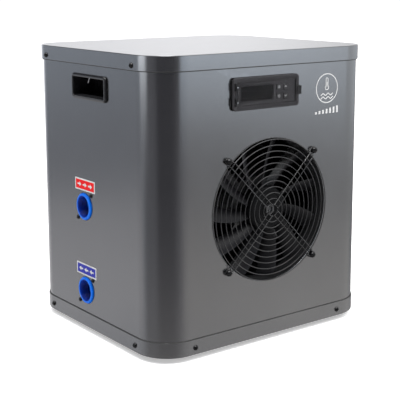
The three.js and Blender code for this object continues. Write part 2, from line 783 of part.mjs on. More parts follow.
function accumulator() {
  const { x, y, bottom, top, radius } = ACCUMULATOR;
  const can = turnedUp(
    [
      [0, bottom],
      [18, bottom + 4],
      [radius, bottom + 14],
      [radius, top - 14],
      [18, top - 4],
      [0, top],
    ],
    20,
    false,
  );
  const toward = new THREE.Vector2(COMPRESSOR.x - x, COMPRESSOR.y - y);
  const reach = toward.length() - COMPRESSOR.radius - 0.5;
  toward.normalize();
  const out = (d, below) => [toward.x * d, toward.y * d, bottom - below];
  const way = [out(0, -5), out(0, 8), out(5, 16), out(13, 18), out(22, 18), out(reach, 18)];
  return join([can, tube(way, 4.5, 16)]);
}

// The end plate of the evaporator with its row of return bends.
function evaporatorEnd(side) {
  const { half, front, back, bottom, top } = EVAPORATOR;
  const from = (a, b) => [side * (half + a), side * (half + b)].sort((p, q) => p - q);
  const [x0, x1] = from(GAP, GAP + 1.5);
  const plate = box([x0, front - 4, bottom], [x1, back + 4, top]);
  const [count, pitch] = [6, 54];
  const bends = [];
  for (let i = 0; i < count; i++) {
    const bend = returnBend().rotateZ((-side * Math.PI) / 2).rotateX(0.5);
    bends.push(bend.translate(side * (half + GAP + 3), (front + back) / 2, bottom + 37 + i * pitch));
  }
  return join([plate, ...bends]);
}

// A hairpin of round tube that opens downwards.
function returnBend() {
  const radius = 9;
  const points = [[radius, -2.5, 0], [radius, 0, 0]];
  const steps = 5;
  for (let i = 1; i < steps; i++) {
    const a = (Math.PI * i) / steps;
    points.push([radius * Math.cos(a), radius * Math.sin(a), 0]);
  }
  points.push([-radius, 0, 0], [-radius, -2.5, 0]);
  return tube(points, 4, 6, 5);
}

function buildRefrigeration(unit) {
  const cold = new THREE.Group();
  unit.add(cold);
  const at = [COMPRESSOR.x, COMPRESSOR.y, 0];
  piece(cold, "compressor", compressor(), blackSteel, at);
  const cap = turnedUp([[0, 232.6], [17, 232.6], [17, 244], [13, 248], [0, 248]], 16, false);
  piece(cold, "compressor_terminal_cover", cap, blackPlastic, [at[0], at[1] + 12, 0]);
  mountAngles.forEach((a, i) => {
    const floor = FOOT_HEIGHT + BASE.sheet + GAP;
    const grommet = turnedUp(
      [
        [0, floor],
        [MOUNT.radius, floor],
        [MOUNT.radius - 2, 15],
        [MOUNT.radius, MOUNT.top],
        [0, MOUNT.top],
      ],
      14,
      false,
    );
    const [x, y] = [at[0] + Math.cos(a) * MOUNT.at, at[1] + Math.sin(a) * MOUNT.at];
    piece(cold, `compressor_mount_${i + 1}`, grommet, rubber, [x, y, 0]);
  });
  piece(cold, "accumulator", accumulator(), blackSteel, [ACCUMULATOR.x, ACCUMULATOR.y, 0]);
  const { half, front, back, bottom, top } = EVAPORATOR;
  piece(cold, "evaporator_fins", box([-half, front, bottom], [half, back, top]), aluminium);
  piece(cold, "evaporator_end_left", evaporatorEnd(-1), copper);
  piece(cold, "evaporator_end_right", evaporatorEnd(1), copper);
  const { radius: r, bottom: low, top: high } = DRIER;
  const drier = turnedUp(
    [
      [0, low],
      [4, low],
      [r, low + 9],
      [r, high - 9],
      [4, high],
      [0, high],
    ],
    16,
    false,
  );
  piece(cold, "filter_drier", drier, copper, [DRIER.x, DRIER.y, 0]);

  const [hx, hy] = [EXCHANGER.x, UNION.y];
  const tail = COIL.tailTop + 0.4;
  const discharge = [
    [COMPRESSOR.x, -12, 231.6],
    [COMPRESSOR.x, -12, 246],
    [112, -10, 258],
    [92, -4, 264],
    [20, 6, 264],
    [-60, 14, 264],
    [hx + COIL.radius + 8, hy, 262],
    [hx + COIL.radius, hy, 252],
    [hx + COIL.radius, hy, tail],
  ];
  piece(cold, "discharge_pipe", tube(discharge, 4.5, 26), rubber);
  const liquid = [
    [hx, hy, tail],
    [hx, hy, 262],
    [hx + 4, hy + 12, 282],
    [hx + 22, hy + 42, 304],
    [-86, 86, 312],
    [-72, 92, 308],
    [DRIER.x, DRIER.y, DRIER.top + 0.4],
  ];
  piece(cold, "liquid_pipe", tube(liquid, 3.6, 24), copper);
  piece(cold, "capillary_tube", capillary(), copper);
  const suction = [
    [162, 118, 356],
    [162, 108, 352],
    [154, 98, 340],
    [120, 92, 322],
    [70, 84, 300],
    [54, 76, 270],
    [ACCUMULATOR.x, ACCUMULATOR.y, 240],
    [ACCUMULATOR.x, ACCUMULATOR.y, ACCUMULATOR.top + 0.6],
  ];
  piece(cold, "suction_pipe", tube(suction, 5, 24), rubber);
}

// The thin capillary leaves the drier, makes three loops and feeds the evaporator.
function capillary() {
  const { x, y, bottom } = DRIER;
  const points = [[x, y, bottom - 0.4], [x, y, bottom - 8]];
  const [loops, perLoop, radius] = [3, 8, 16];
  for (let i = 0; i <= loops * perLoop; i++) {
    const a = (i / perLoop) * 2 * Math.PI;
    const z = bottom - 16 - (i / perLoop) * 6;
    points.push([x - radius + radius * Math.cos(a), y - radius * Math.sin(a) * 0.8, z]);
  }
  points.push([x - 6, y + 4, bottom - 42], [x - 30, y + 6, bottom - 60]);
  points.push([-130, 104, 140], [-160, 112, 120]);
  return tube(points, 1.6, 56, 4);
}

// ---- Electrics -------------------------------------------------------------------------------
function eboxTray() {
  const { left, right, front, back, bottom, top, wall } = EBOX;
  const outer = box([left, front, bottom], [right, back, top]);
  const inner = box([left + wall, front + wall, bottom + wall], [right - wall, back - wall, top + 5]);
  const side = CASE.width / 2 - CASE.sheet - GAP;
  const ear = box([right - 1, -110, bottom], [side, -70, bottom + 2]);
  const lip = box([side - 1.5, -110, bottom], [side, -70, bottom + 24]);
  return join([cut(outer, [inner]), ear, lip]);
}

function eboxCover() {
  const { left, right, front, back, top } = EBOX;
  const plate = box([left - 1.5, front - 1.5, top + GAP], [right + 1.5, back + 1.5, top + 1.5]);
  const lip = box([left - 1.5, back + GAP, top - 8], [right + 1.5, back + 1.5, top + 1]);
  return join([plate, lip]);
}

function terminalBlock() {
  const block = box([70, -100, 308], [94, -60, 326]);
  const wells = [0, 1, 2, 3].map((i) => box([73, -98 + i * 10, 316], [91, -91 + i * 10, 330]));
  return cut(block, wells);
}

// A cable gland through the right-hand wall: the second number is the way out of the case.
const cableGland = () =>
  turnedAlongX(
    [
      [GLAND.bore, -10],
      [GLAND.hole - 0.4, -10],
      [GLAND.hole - 0.4, GAP],
      [12, GAP],
      [12, 8],
      [9.5, 9],
      [9, 13],
      [7.5, GLAND.proud],
      [GLAND.bore, GLAND.proud],
    ],
    14,
  );

function buildElectrics(unit) {
  const electrics = new THREE.Group();
  unit.add(electrics);
  piece(electrics, "electrical_box", eboxTray(), zincSteel);
  piece(electrics, "electrical_box_cover", eboxCover(), zincSteel);
  const capacitor = turned([[0, -134], [20, -134], [20, -60], [17, -58], [0, -58]], 20, false);
  piece(electrics, "run_capacitor", capacitor, whitePvc, [146, 0, 329]);
  piece(electrics, "terminal_block", terminalBlock(), blackPlastic);
  piece(electrics, "cable_gland", cableGland(), blackPlastic, [CASE.width / 2, GLAND.y, GLAND.z]);
}

// ---- The whole unit --------------------------------------------------------------------------
// The case stands off-centre so that the origin is under the middle of everything that sticks out.
const unit = new THREE.Group();
unit.position.set(
  (HANDLE.proud - GLAND.proud) / 2,
  (COVER.front - LID.overhang) / 2,
  0,
);
buildCase(unit);
buildFan(unit);
buildController(unit);
buildWater(unit);
buildRefrigeration(unit);
buildElectrics(unit);

export default unit;
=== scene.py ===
import math

import bmesh
import bpy
from mathutils import Matrix, Vector


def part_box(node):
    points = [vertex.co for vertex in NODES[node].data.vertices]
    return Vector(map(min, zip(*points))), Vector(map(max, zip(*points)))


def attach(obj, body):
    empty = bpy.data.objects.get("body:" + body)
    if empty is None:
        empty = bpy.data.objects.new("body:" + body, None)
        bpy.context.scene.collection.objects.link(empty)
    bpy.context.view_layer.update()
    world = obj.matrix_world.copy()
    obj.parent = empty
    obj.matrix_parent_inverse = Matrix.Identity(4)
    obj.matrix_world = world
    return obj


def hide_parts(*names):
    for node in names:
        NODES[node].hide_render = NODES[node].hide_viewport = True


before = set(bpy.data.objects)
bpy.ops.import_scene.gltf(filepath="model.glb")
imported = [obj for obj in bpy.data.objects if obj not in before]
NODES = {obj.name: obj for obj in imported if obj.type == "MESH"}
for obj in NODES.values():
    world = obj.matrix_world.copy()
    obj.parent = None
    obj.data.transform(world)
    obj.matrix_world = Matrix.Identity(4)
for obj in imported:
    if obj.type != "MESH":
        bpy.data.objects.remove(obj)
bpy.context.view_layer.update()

# Lengths are millimetres from the ground under the middle of the case, unless a comment says otherwise.
MM = 0.001
WRAP_LOW, WRAP_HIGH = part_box("wrap_panel")
CENTRE = Vector(((WRAP_LOW.x + WRAP_HIGH.x) / 2, (WRAP_LOW.y + WRAP_HIGH.y) / 2, 0))
BOTH = ("first", "last")


def low(node):
    return (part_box(node)[0] - CENTRE) / MM


def high(node):
    return (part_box(node)[1] - CENTRE) / MM


def middle(node):
    return (low(node) + high(node)) / 2


def extent(node):
    return high(node) - low(node)


# ---- Shapes ----
def plan(u, v, d):
    """An outline in the floor plan, with depth upwards."""
    return (u, v, d)


def front(u, v, d):
    """An outline as seen from the front, with depth towards the back."""
    return (u, d, v)


def outwards(u, v, d):
    """An outline as seen from the front, with depth out of the front face."""
    return (u, -d, v)


def side(sign, at=0.0):
    """An outline on a side wall, with depth outwards from x = at."""
    return lambda u, v, d: (at + sign * d, u, v)


LEFTWARDS, RIGHTWARDS = side(-1), side(1)


def arc(radius, start, turn, steps, cx=0.0, cy=0.0):
    """Points along a circular arc; both angles are in degrees."""
    angles = [math.radians(start + turn * k / steps) for k in range(steps + 1)]
    return [(cx + radius * math.cos(a), cy + radius * math.sin(a)) for a in angles]


def rounded(width, height, radius, per_corner=6, cx=0.0, cy=0.0):
    """The outline of a rectangle with round corners: a function of how far it is grown."""

    def ring(grow=0.0):
        w, h, r = width / 2 + grow, height / 2 + grow, max(radius + grow, 0.02)
        points = []
        for sx, sy, start in ((1, -1, -90), (1, 1, 0), (-1, 1, 90), (-1, -1, 180)):
            points += arc(r, start, 90, per_corner, cx + sx * (w - r), cy + sy * (h - r))
        return points

    return ring


def round_about(segments, cx=0.0, cy=0.0):
    """A circle as an outline: how far it is grown is its radius."""
    return lambda grow: arc(grow, 0, 360, segments, cx, cy)[:-1]


def soft(profile, radius, steps=3, loop=False):
    """Rounds the corners of a row of points; radius is one number, or one for each point."""
    rounded_off = []
    for i, point in enumerate(profile):
        r = radius[i] if isinstance(radius, (list, tuple)) else radius
        p = Vector(point)
        if r <= 0 or (not loop and i in (0, len(profile) - 1)):
            rounded_off.append(tuple(p))
            continue
        back = Vector(profile[i - 1]) - p
        on = Vector(profile[(i + 1) % len(profile)]) - p
        a = p + back.normalized() * min(r, back.length * 0.49)
        b = p + on.normalized() * min(r, on.length * 0.49)
        for k in range(steps + 1):
            t = k / steps
            rounded_off.append(tuple(a * (1 - t) ** 2 + p * 2 * t * (1 - t) + b * t * t))
    return rounded_off


class Shape:
    """The points and faces of one piece, about an origin."""

    def __init__(self, origin=(0, 0, 0)):
        self.origin = Vector(origin)
        self.points = []
        self.faces = []

    def skin(self, rings, loop=False, caps=()):
        """Four-sided faces between rings that have the same number of points."""
        start, n, count = len(self.points), len(rings[0]), len(rings)
        for ring in rings:
            self.points.extend(Vector(p) + self.origin for p in ring)
        for i in range(count if loop else count - 1):
            a, b = start + i * n, start + ((i + 1) % count) * n
            for j in range(n):
                k = (j + 1) % n
                self.faces.append((a + j, a + k, b + k, b + j))
        if "first" in caps:
            self.faces.append(tuple(start + j for j in range(n)))
        if "last" in caps:
            self.faces.append(tuple(start + (count - 1) * n + j for j in range(n)))
        return self

    def sweep(self, outline, profile, plane, loop=False, caps=()):
        """A profile of (grow, depth) points carried round an outline."""
        rings = [[plane(u, v, d) for u, v in outline(grow)] for grow, d in profile]
        return self.skin(rings, loop, caps)

    def prism(self, outline, plane, start, end, grow=0.0):
        """A straight bar with the outline as its section, from one depth to another."""
        return self.sweep(outline, [(grow, start), (grow, end)], plane, caps=BOTH)

    def tube(self, points, radius, sides=8):
        """A round bar along a row of points."""
        path = [Vector(p) for p in points]
        last = len(path) - 1
        way = [(path[min(i + 1, last)] - path[max(i - 1, 0)]).normalized() for i in range(last + 1)]
        across = way[0].orthogonal().normalized()
        rings = []
        for point, ahead in zip(path, way):
            across = (across - ahead * across.dot(ahead)).normalized()
            up = ahead.cross(across)
            rings.append([point + across * u + up * v for u, v in round_about(sides)(radius)])
        return self.skin(rings, caps=BOTH)

    def block(self, a, b):
        """A box between two corners."""
        (x0, y0, z0), (x1, y1, z1) = a, b
        base = [(x0, y0), (x1, y0), (x1, y1), (x0, y1)]
        return self.prism(lambda grow: base, plan, z0, z1)

    def mesh(self, name):
        """A Blender mesh in metres, with its points merged and its faces turned outwards."""
        made = bpy.data.meshes.new(name)
        made.from_pydata([p * MM + CENTRE for p in self.points], [], self.faces)
        bm = bmesh.new()
        bm.from_mesh(made)
        bmesh.ops.remove_doubles(bm, verts=bm.verts, dist=2e-6)
        bmesh.ops.recalc_face_normals(bm, faces=bm.faces)
        bm.to_mesh(made)
        bm.free()
        return made


def carve(obj, cutter_shape):
    """Cuts a shape out of an object."""
    cutter = bpy.data.objects.new("cutter", cutter_shape.mesh("cutter"))
    bpy.context.scene.collection.objects.link(cutter)
    cut = obj.modifiers.new("cut", "BOOLEAN")
    cut.operation, cut.solver, cut.object = "DIFFERENCE", "EXACT", cutter
    bpy.context.view_layer.update()
    evaluated = obj.evaluated_get(bpy.context.evaluated_depsgraph_get())
    made = bpy.data.meshes.new_from_object(evaluated)
    made.name = obj.name
    obj.modifiers.clear()
    obj.data = made
    bpy.data.objects.remove(cutter)


def finish_edges(obj, bevel, smooth):
    """Smooth shading with crisp creases, and small round edges if asked."""
    obj.data.shade_smooth()
    obj.data.set_sharp_from_angle(angle=math.radians(smooth))
    if bevel:
        edge = obj.modifiers.new("edges", "BEVEL")
        edge.width, edge.segments = bevel * MM, 2
        edge.limit_method, edge.angle_limit = "ANGLE", math.radians(40)
        edge.miter_outer = "MITER_ARC"
    weighted = obj.modifiers.new("normals", "WEIGHTED_NORMAL")
    weighted.keep_sharp = True


def piece(name, shape, material, stands_for=(), body="case", slot="own", cut=None, bevel=0.0, smooth=32):
    """Makes one visible piece on its body; a slot, its material's name, another name or None, is worked out
    but kept nowhere.
    """
    obj = bpy.data.objects.new(name, shape.mesh(name))
    bpy.context.scene.collection.objects.link(obj)
    if cut is not None:
        carve(obj, cut)
    obj.data.materials.clear()
    obj.data.materials.append(material)
    finish_edges(obj, bevel, smooth)
    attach(obj, body)
    if stands_for:
        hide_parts(*stands_for)
    if slot == "own":
        # Blender adds .001 to a name that a CAD material has already.
        slot = material.name.partition(".")[0]


HALF_WIDTH, HALF_DEPTH = high("wrap_panel").x, high("wrap_panel").y
FRONT = -HALF_DEPTH
CASE_BOTTOM, CASE_TOP = low("wrap_panel").z, high("wrap_panel").z
CORNER, CORNER_STEPS = 50, 22
SHEET, THIN_SHEET = 1.2, 1
CASE_OUTLINE = rounded(2 * HALF_WIDTH, 2 * HALF_DEPTH, CORNER, CORNER_STEPS)
FAN_AT = Vector((middle("fan_guard").x, FRONT, middle("fan_guard").z))
CONTROL_AT = Vector((middle("controller_bezel").x, FRONT, middle("controller_bezel").z))
GLAND_AT = middle("cable_gland")


# ---- Materials ----
def feed(tree, socket, value):
    """Gives an input its value, or a link if the value is another node's output."""
    if isinstance(value, bpy.types.NodeSocket):
        tree.links.new(value, socket)
    else:
        socket.default_value = value


def add_node(tree, kind, inputs=None, **settings):
    """Adds a shader node; its inputs are given by name or by number."""
    node = tree.nodes.new(kind)
    for key, value in settings.items():
        setattr(node, key, value)
    for key, value in (inputs or {}).items():
        feed(tree, node.inputs[key], value)
    return node


class Surface:
    """A node material whose patterns are set in metres on the piece itself."""

    def __init__(self, name, color, roughness, metallic=0.0, **sockets):
        self.made = bpy.data.materials.new(name)
        self.made.use_nodes = True
        self.tree = self.made.node_tree
        self.shader = self.tree.nodes["Principled BSDF"]
        self.coordinates = self.add("ShaderNodeTexCoord").outputs["Object"]
        self.color, self.roughness = (*color, 1.0), roughness
        self.shader.inputs["Metallic"].default_value = metallic
        for socket, value in sockets.items():
            self.shader.inputs[socket.replace("_", " ")].default_value = value

    def add(self, kind, inputs=None, **settings):
        return add_node(self.tree, kind, inputs, **settings)

    def pattern(self, kind, feature, stretch, **inputs):
        """A texture whose features are about this size in millimetres."""
        scaled = self.add("ShaderNodeMapping", {"Vector": self.coordinates, "Scale": stretch})
        return self.add(kind, {"Vector": scaled.outputs[0], "Scale": 1 / (feature * MM), **inputs})

    def noise(self, feature, detail=2.0, stretch=(1, 1, 1)):
        """Soft noise from 0 to 1."""
        return self.pattern("ShaderNodeTexNoise", feature, stretch, Detail=detail).outputs["Fac"]

    def cells(self, feature, stretch=(1, 1, 1)):
        """A random shade for each cell."""
        found = self.pattern("ShaderNodeTexVoronoi", feature, stretch).outputs["Color"]
        return self.add("ShaderNodeSeparateColor", {"Color": found}).outputs[0]

    def ranged(self, value, to_low, to_high, from_low=0.3, from_high=0.7):
        """Carries a value from one range to another."""
        numbers = (value, from_low, from_high, to_low, to_high)
        return self.add("ShaderNodeMapRange", dict(enumerate(numbers))).outputs["Result"]

    def tint(self, factor, other, amount):
        """Mixes another colour in where factor is high."""
        share = self.ranged(factor, 0.0, amount)
        mix = self.add("ShaderNodeMix", {0: share, 6: self.color, 7: (*other, 1.0)}, data_type="RGBA")
        self.color = mix.outputs[2]

    def uneven(self, factor, spread):
        """Makes the roughness vary with factor."""
        self.roughness = self.ranged(factor, self.roughness - spread, self.roughness + spread)

    def bump(self, height, depth):
        """Raises the surface by up to depth millimetres where height is high."""
        raised = self.add("ShaderNodeBump", {"Height": height, "Distance": depth * MM, "Strength": 1.0})
        self.tree.links.new(raised.outputs["Normal"], self.shader.inputs["Normal"])

    def worn(self, other, amount):
        """Lightens raised edges, where handling rubs the finish."""
        edge = self.add("ShaderNodeNewGeometry").outputs["Pointiness"]
        rubbed = self.ranged(edge, 0.0, 1.0, 0.52, 0.60)
        patchy = self.add("ShaderNodeMath", {0: rubbed, 1: self.noise(9, 3)}, operation="MULTIPLY")
        self.tint(patchy.outputs[0], other, amount)

    def done(self):
        feed(self.tree, self.shader.inputs["Base Color"], self.color)
        feed(self.tree, self.shader.inputs["Roughness"], self.roughness)
        return self.made


def painted(name, color, light, roughness, clouding=0.08):
    """Satin metallic powder coat: fine orange peel, small flakes and slight clouding."""
    s = Surface(name, color, roughness, 0.96)
    s.tint(s.cells(0.5), light, 0.30)
    s.tint(s.noise(60, 3), light, clouding)
    s.worn(light, 0.5)
    s.uneven(s.noise(25, 4), clouding * 0.15)
    s.bump(s.noise(1.3, 2), 0.004)
    return s.done()


def moulded(name, color, roughness, light, grain=0.5, depth=0.01, **sockets):
    """Moulded plastic with a fine spark-eroded grain, faint flow marks and rubbed edges."""
    s = Surface(name, color, roughness, 0.0, **sockets)
    s.tint(s.noise(18, 4, (1, 1, 0.35)), light, 0.35)
    s.worn(light, 0.7)
    s.uneven(s.noise(6, 3), 0.05)
    s.bump(s.noise(grain, 2), depth)
    return s.done()


def dull(name, color, roughness, light, grain, depth, specular):
    """Moulded plastic with a weak shine of its own."""
    return moulded(name, color, roughness, light, grain, depth, Specular_IOR_Level=specular)


def metal(name, color, dark, roughness, grain=0.4, depth=0.006, stretch=(1, 1, 1), stain=12):
    """Bare metal with drawing marks along one way, and patchy dulling."""
    s = Surface(name, color, roughness, 1.0)
    s.tint(s.noise(stain, 5), dark, 0.5)
    s.uneven(s.noise(stain / 3, 4), 0.07)
    s.bump(s.noise(grain, 3, stretch), depth)
    return s.done()


case_paint = painted("case_paint", (0.175, 0.176, 0.18), (0.25, 0.255, 0.265), 0.16)
lid_paint = painted("lid_paint", (0.19, 0.192, 0.197), (0.27, 0.275, 0.285), 0.18, 0.03)

black_plastic = moulded("black_plastic", (0.012, 0.012, 0.013), 0.38, (0.035, 0.035, 0.037))
gloss_plastic = moulded(
    "black_gloss_plastic", (0.005, 0.005, 0.0055), 0.22, (0.010, 0.010, 0.011), 0.8, 0.006,
    Specular_IOR_Level=0.3, Coat_Weight=0.4, Coat_Roughness=0.08,
)
guard_wire = moulded(
    "guard_wire", (0.008, 0.008, 0.009), 0.2, (0.02, 0.02, 0.02), 1.2, 0.02,
    Coat_Weight=0.9, Coat_Roughness=0.1,
)
black_screw = moulded(
    "black_screw", (0.003, 0.003, 0.0035), 0.25, (0.008, 0.008, 0.008), 0.8, 0.004,
    Specular_IOR_Level=0.2, Coat_Weight=0.3, Coat_Roughness=0.06,
)
black_steel = moulded(
    "black_steel", (0.016, 0.016, 0.017), 0.35, (0.05, 0.05, 0.052), 1.6, 0.02, Coat_Weight=0.4
)
white_plastic = moulded("white_plastic", (0.74, 0.74, 0.71), 0.45, (0.82, 0.82, 0.80), 0.6)
black_rubber = moulded("black_rubber", (0.014, 0.014, 0.014), 0.75, (0.04, 0.04, 0.038), 0.4, 0.03)
gasket_foam = moulded("gasket_foam", (0.030, 0.029, 0.032), 0.8, (0.04, 0.039, 0.043), 0.5, 0.03)

fan_plastic = dull("fan_plastic", (0.006, 0.0058, 0.007), 0.42, (0.010, 0.0097, 0.012), 0.6, 0.012, 0.3)
hub_plastic = dull("hub_plastic", (0.003, 0.003, 0.0035), 0.45, (0.006, 0.006, 0.007), 0.6, 0.012, 0.12)
control_grey = dull("control_grey", (0.031, 0.030, 0.033), 0.6, (0.040, 0.039, 0.043), 0.35, 0.012, 0.2)
control_edge = dull("control_edge", (0.008, 0.008, 0.009), 0.5, (0.015, 0.015, 0.016), 0.35, 0.012, 0.2)
key_grey = dull("key_grey", (0.025, 0.0245, 0.027), 0.55, (0.034, 0.033, 0.036), 0.3, 0.01, 0.3)
blue_fitting = dull("blue_fitting", (0.0004, 0.098, 0.52), 0.36, (0.002, 0.135, 0.62), 0.7, 0.012, 0.12)
# Painted shade: the bush's blue made much darker for the thread, for the shade deep in the bore.
blue_thread = dull("blue_thread", (0.0003, 0.014, 0.17), 0.35, (0.0006, 0.02, 0.21), 0.7, 0.01, 0.1)

copper_tube = metal("copper_tube", (0.42, 0.19, 0.11), (0.14, 0.06, 0.035), 0.38)
titanium_tube = metal("titanium_tube", (0.46, 0.43, 0.40), (0.30, 0.26, 0.23), 0.32)
brass_fitting = metal("brass_fitting", (0.78, 0.58, 0.26), (0.45, 0.30, 0.12), 0.28)
DRAWN = (1, 1, 8)
steel_pin = metal("steel_pin", (0.62, 0.62, 0.64), (0.4, 0.4, 0.41), 0.25, 0.2, 0.004, DRAWN, 4)
shaft_steel = metal("shaft_steel", (0.10, 0.10, 0.105), (0.05, 0.05, 0.052), 0.42, 0.2, 0.004, DRAWN, 4)
fin_aluminium = metal("fin_aluminium", (0.42, 0.43, 0.45), (0.28, 0.29, 0.30), 0.42, 0.3, 0.01, (1, 1, 12))


def galvanised():
    """Zinc-coated sheet with its crystal spangle."""
    s = Surface("zinc_steel", (0.52, 0.53, 0.55), 0.4, 1.0)
    s.tint(s.cells(7), (0.68, 0.69, 0.71), 0.9)
    s.tint(s.noise(30, 5), (0.36, 0.37, 0.38), 0.5)
    s.uneven(s.cells(7), 0.08)
    s.bump(s.noise(2.5, 3), 0.01)
    return s.done()


def dark_glass():
    """The dark display window, with a faint segment-panel weave behind its gloss."""
    s = Surface("screen_black", (0.006, 0.006, 0.007), 0.4, 0.0, Specular_IOR_Level=0.06)
    s.tint(s.noise(11, 2, (0.4, 1, 1)), (0.012, 0.0115, 0.0115), 0.8)
    s.uneven(s.noise(5, 4), 0.03)
    s.bump(s.noise(3, 1), 0.002)
    return s.done()


def clear_plastic():
    """The see-through flip cover: nearly clear, with a faint haze and fine rub marks."""
    s = Surface("clear_cover", (0.012, 0.012, 0.013), 0.3, 0.0, IOR=1.3)
    rubs = s.noise(6, 5, (1, 1, 0.15))
    s.uneven(rubs, 0.04)
    s.tint(rubs, (0.03, 0.03, 0.032), 0.4)
    s.tree.links.new(s.ranged(rubs, 0.06, 0.085), s.shader.inputs["Alpha"])
    s.bump(s.noise(14, 1), 0.004)
    return s.done()


def board():
    """Solder mask with the copper tracks showing as lighter lines."""
    s = Surface("board_green", (0.015, 0.10, 0.04), 0.35, 0.0, Coat_Weight=0.3)
    tracks = s.cells(2.2, (0.3, 1, 1))
    s.tint(tracks, (0.04, 0.20, 0.08), 0.6)
    s.bump(tracks, 0.02)
    return s.done()


def printed(name, color, faded):
    """Vinyl film: even ink with slight fading and a fine texture."""
    s = Surface(name, color, 0.5, 0.0, Specular_IOR_Level=0.08)
    s.tint(s.noise(8, 4), faded, 0.5)
    s.uneven(s.noise(3, 3), 0.05)
    s.bump(s.noise(0.6, 2), 0.004)
    return s.done()


zinc_steel = galvanised()
screen_black = dark_glass()
clear_cover = clear_plastic()
board_green = board()
label_white = printed("label_white", (0.47, 0.47, 0.47), (0.43, 0.43, 0.43))
label_red = printed("label_red", (0.56, 0.002, 0.004), (0.50, 0.003, 0.005))
label_blue = printed("label_blue", (0.022, 0.026, 0.24), (0.030, 0.034, 0.27))
key_ink = printed("key_ink", (0.36, 0.36, 0.37), (0.30, 0.30, 0.31))


# ---- Fasteners ----
def plus(arm, slot):
    """The outline of an upright cross, which has one size."""
    corner = [(arm, -slot), (arm, slot), (slot, slot)]
    quarter_turns = ((1, 0), (0, 1), (-1, 0), (0, -1))
    points = [(u * c - v * s, u * s + v * c) for c, s in quarter_turns for u, v in corner]
    return lambda grow: points


def screws(name, places, radius=3.9, height=3.0):
    """One group of domed screw heads with driver crosses; each place is (position, plane)."""
    heads, crosses = Shape(), Shape()
    dome = [(0, height), (radius * 0.45, height * 0.93), (radius * 0.8, height * 0.62)]
    dome += [(radius, height * 0.15), (radius, -0.2), (0, -0.2)]
    for at, plane_of in places:
        heads.origin = crosses.origin = Vector(at)
        heads.sweep(round_about(24), soft(dome, [0, 1, 1, 0.3, 0, 0]), plane_of)
        crosses.prism(plus(radius * 0.55, radius * 0.14), plane_of, height * 0.4, height + 1)
    piece(name, heads, black_screw, cut=crosses)


# ---- Case ----
def case_wrap():
    """The bent sheet round the four sides, with its real openings."""
    section = [(0, CASE_BOTTOM), (0, CASE_TOP), (-SHEET, CASE_TOP), (-SHEET, CASE_BOTTOM)]
    shell = Shape().sweep(CASE_OUTLINE, section, plan, loop=True)
    reach, fan_radius, port_radius, gland_radius = 9, 104.3, 20.1, 8.6
    rear_half_width, inside_y, behind_y = 128, 130, 200
    holes = Shape()
    holes.block((-rear_half_width, inside_y, -20), (rear_half_width, behind_y, 500))
    fan_hole = round_about(96, FAN_AT.x, FAN_AT.z)
    holes.prism(fan_hole, front, FRONT - reach, FRONT + reach, fan_radius)
    window = rounded(97.5, 35.5, 1, 3, CONTROL_AT.x, CONTROL_AT.z)
    holes.prism(window, front, FRONT - reach, FRONT + reach)
    for sign, cup in ((-1, "handle_cup_left"), (1, "handle_cup_right")):
        grip = rounded(extent(cup).y - 5, extent(cup).z - 4, 3, 5, middle(cup).y, middle(cup).z)
        holes.prism(grip, side(sign, sign * HALF_WIDTH), -reach, reach)
    for node in ("union_outlet", "union_inlet"):
        port = round_about(64, middle(node).y, middle(node).z)
        holes.prism(port, side(-1, -HALF_WIDTH), -reach, reach, port_radius)
    gland_hole = round_about(32, GLAND_AT.y, GLAND_AT.z)
    holes.prism(gland_hole, side(1, HALF_WIDTH), -reach, reach, gland_radius)
    piece("case_wrap", shell, case_paint, ["wrap_panel"], cut=holes, bevel=0.45)


def flanged_sheet(node, corner, flat, free, radii):
    """A flat sheet with its rim bent over; flat and free are the heights of its outside and of that rim."""
    sheet, margin = THIN_SHEET, 6
    inner = flat + math.copysign(sheet, free - flat)
    profile = [(-margin, inner), (-sheet, inner), (-sheet, free), (0, free), (0, flat), (-margin, flat)]
    outline = rounded(extent(node).x, extent(node).y, corner, CORNER_STEPS)
    return Shape().sweep(outline, soft(profile, radii, 4), plan, caps=BOTH)


def shadow_strip(name, section):
    """A thin black strip round the wall of the case, painted shadow along a seam."""
    piece(name, Shape().sweep(CASE_OUTLINE, section, plan, loop=True), black_rubber)


def lid_shell():
    """The lid with its skirt down round the walls, and a black strip under the skirt as painted shadow of the
    gap.
    """
    top, bottom = high("top_lid").z, low("top_lid").z
    shape = flanged_sheet("top_lid", CORNER + 2.5, top, bottom, [0, 0.6, 0.4, 0.4, 1.3, 0])
    piece("lid_shell", shape, lid_paint, ["top_lid"], smooth=50)
    # Painted shadow: a black strip under the skirt stands in for the shade on the wall below it.
    shadow_strip("lid_shadow_strip", [(0.05, bottom - 1.2), (1.4, bottom - 1.0), (1.4, bottom + 1), (0.05, bottom + 1)])


def base_tray():
    """The base pan with its skirt up round the walls, and a black strip over the skirt as painted shadow of
    the gap.
    """
    bottom, top = low("base_pan").z, high("base_pan").z
    shape = flanged_sheet("base_pan", CORNER + 1.3, bottom, top, [0, 1.4, 0.4, 0.15, 2.4, 0])
    drain_x, drain_y, drain_radius = -60, 60, 6
    drain = Shape().prism(round_about(24, drain_x, drain_y), plan, 0, 20, drain_radius)
    piece("base_tray", shape, case_paint, ["base_pan"], cut=drain, smooth=50)
    # Painted shadow: a black strip on the skirt's top edge hides its highlight and stands in for the shade in
    # the seam.
    shadow_strip("base_shadow_strip", [(0.05, top + 0.02), (1.25, top + 0.02), (1.15, top + 0.7), (0.05, top + 0.9)])


def case_feet():
    """Round rubber feet with a waist."""
    for corner in ("front_left", "front_right", "rear_left", "rear_right"):
        node = f"foot_{corner}"
        at, top = middle(node), high(node).z
        pad = [(0, 1.2), (8, 1.2), (8.6, 0), (13, 0), (14, 1.4)]
        pad += [(13.2, 3), (13.2, 4.2), (14, 5.4), (14, top), (0, top)]
        shape = Shape((at.x, at.y, 0)).sweep(round_about(40), soft(pad, 0.5), plan)
        piece(f"rubber_{node}", shape, black_rubber, [node])


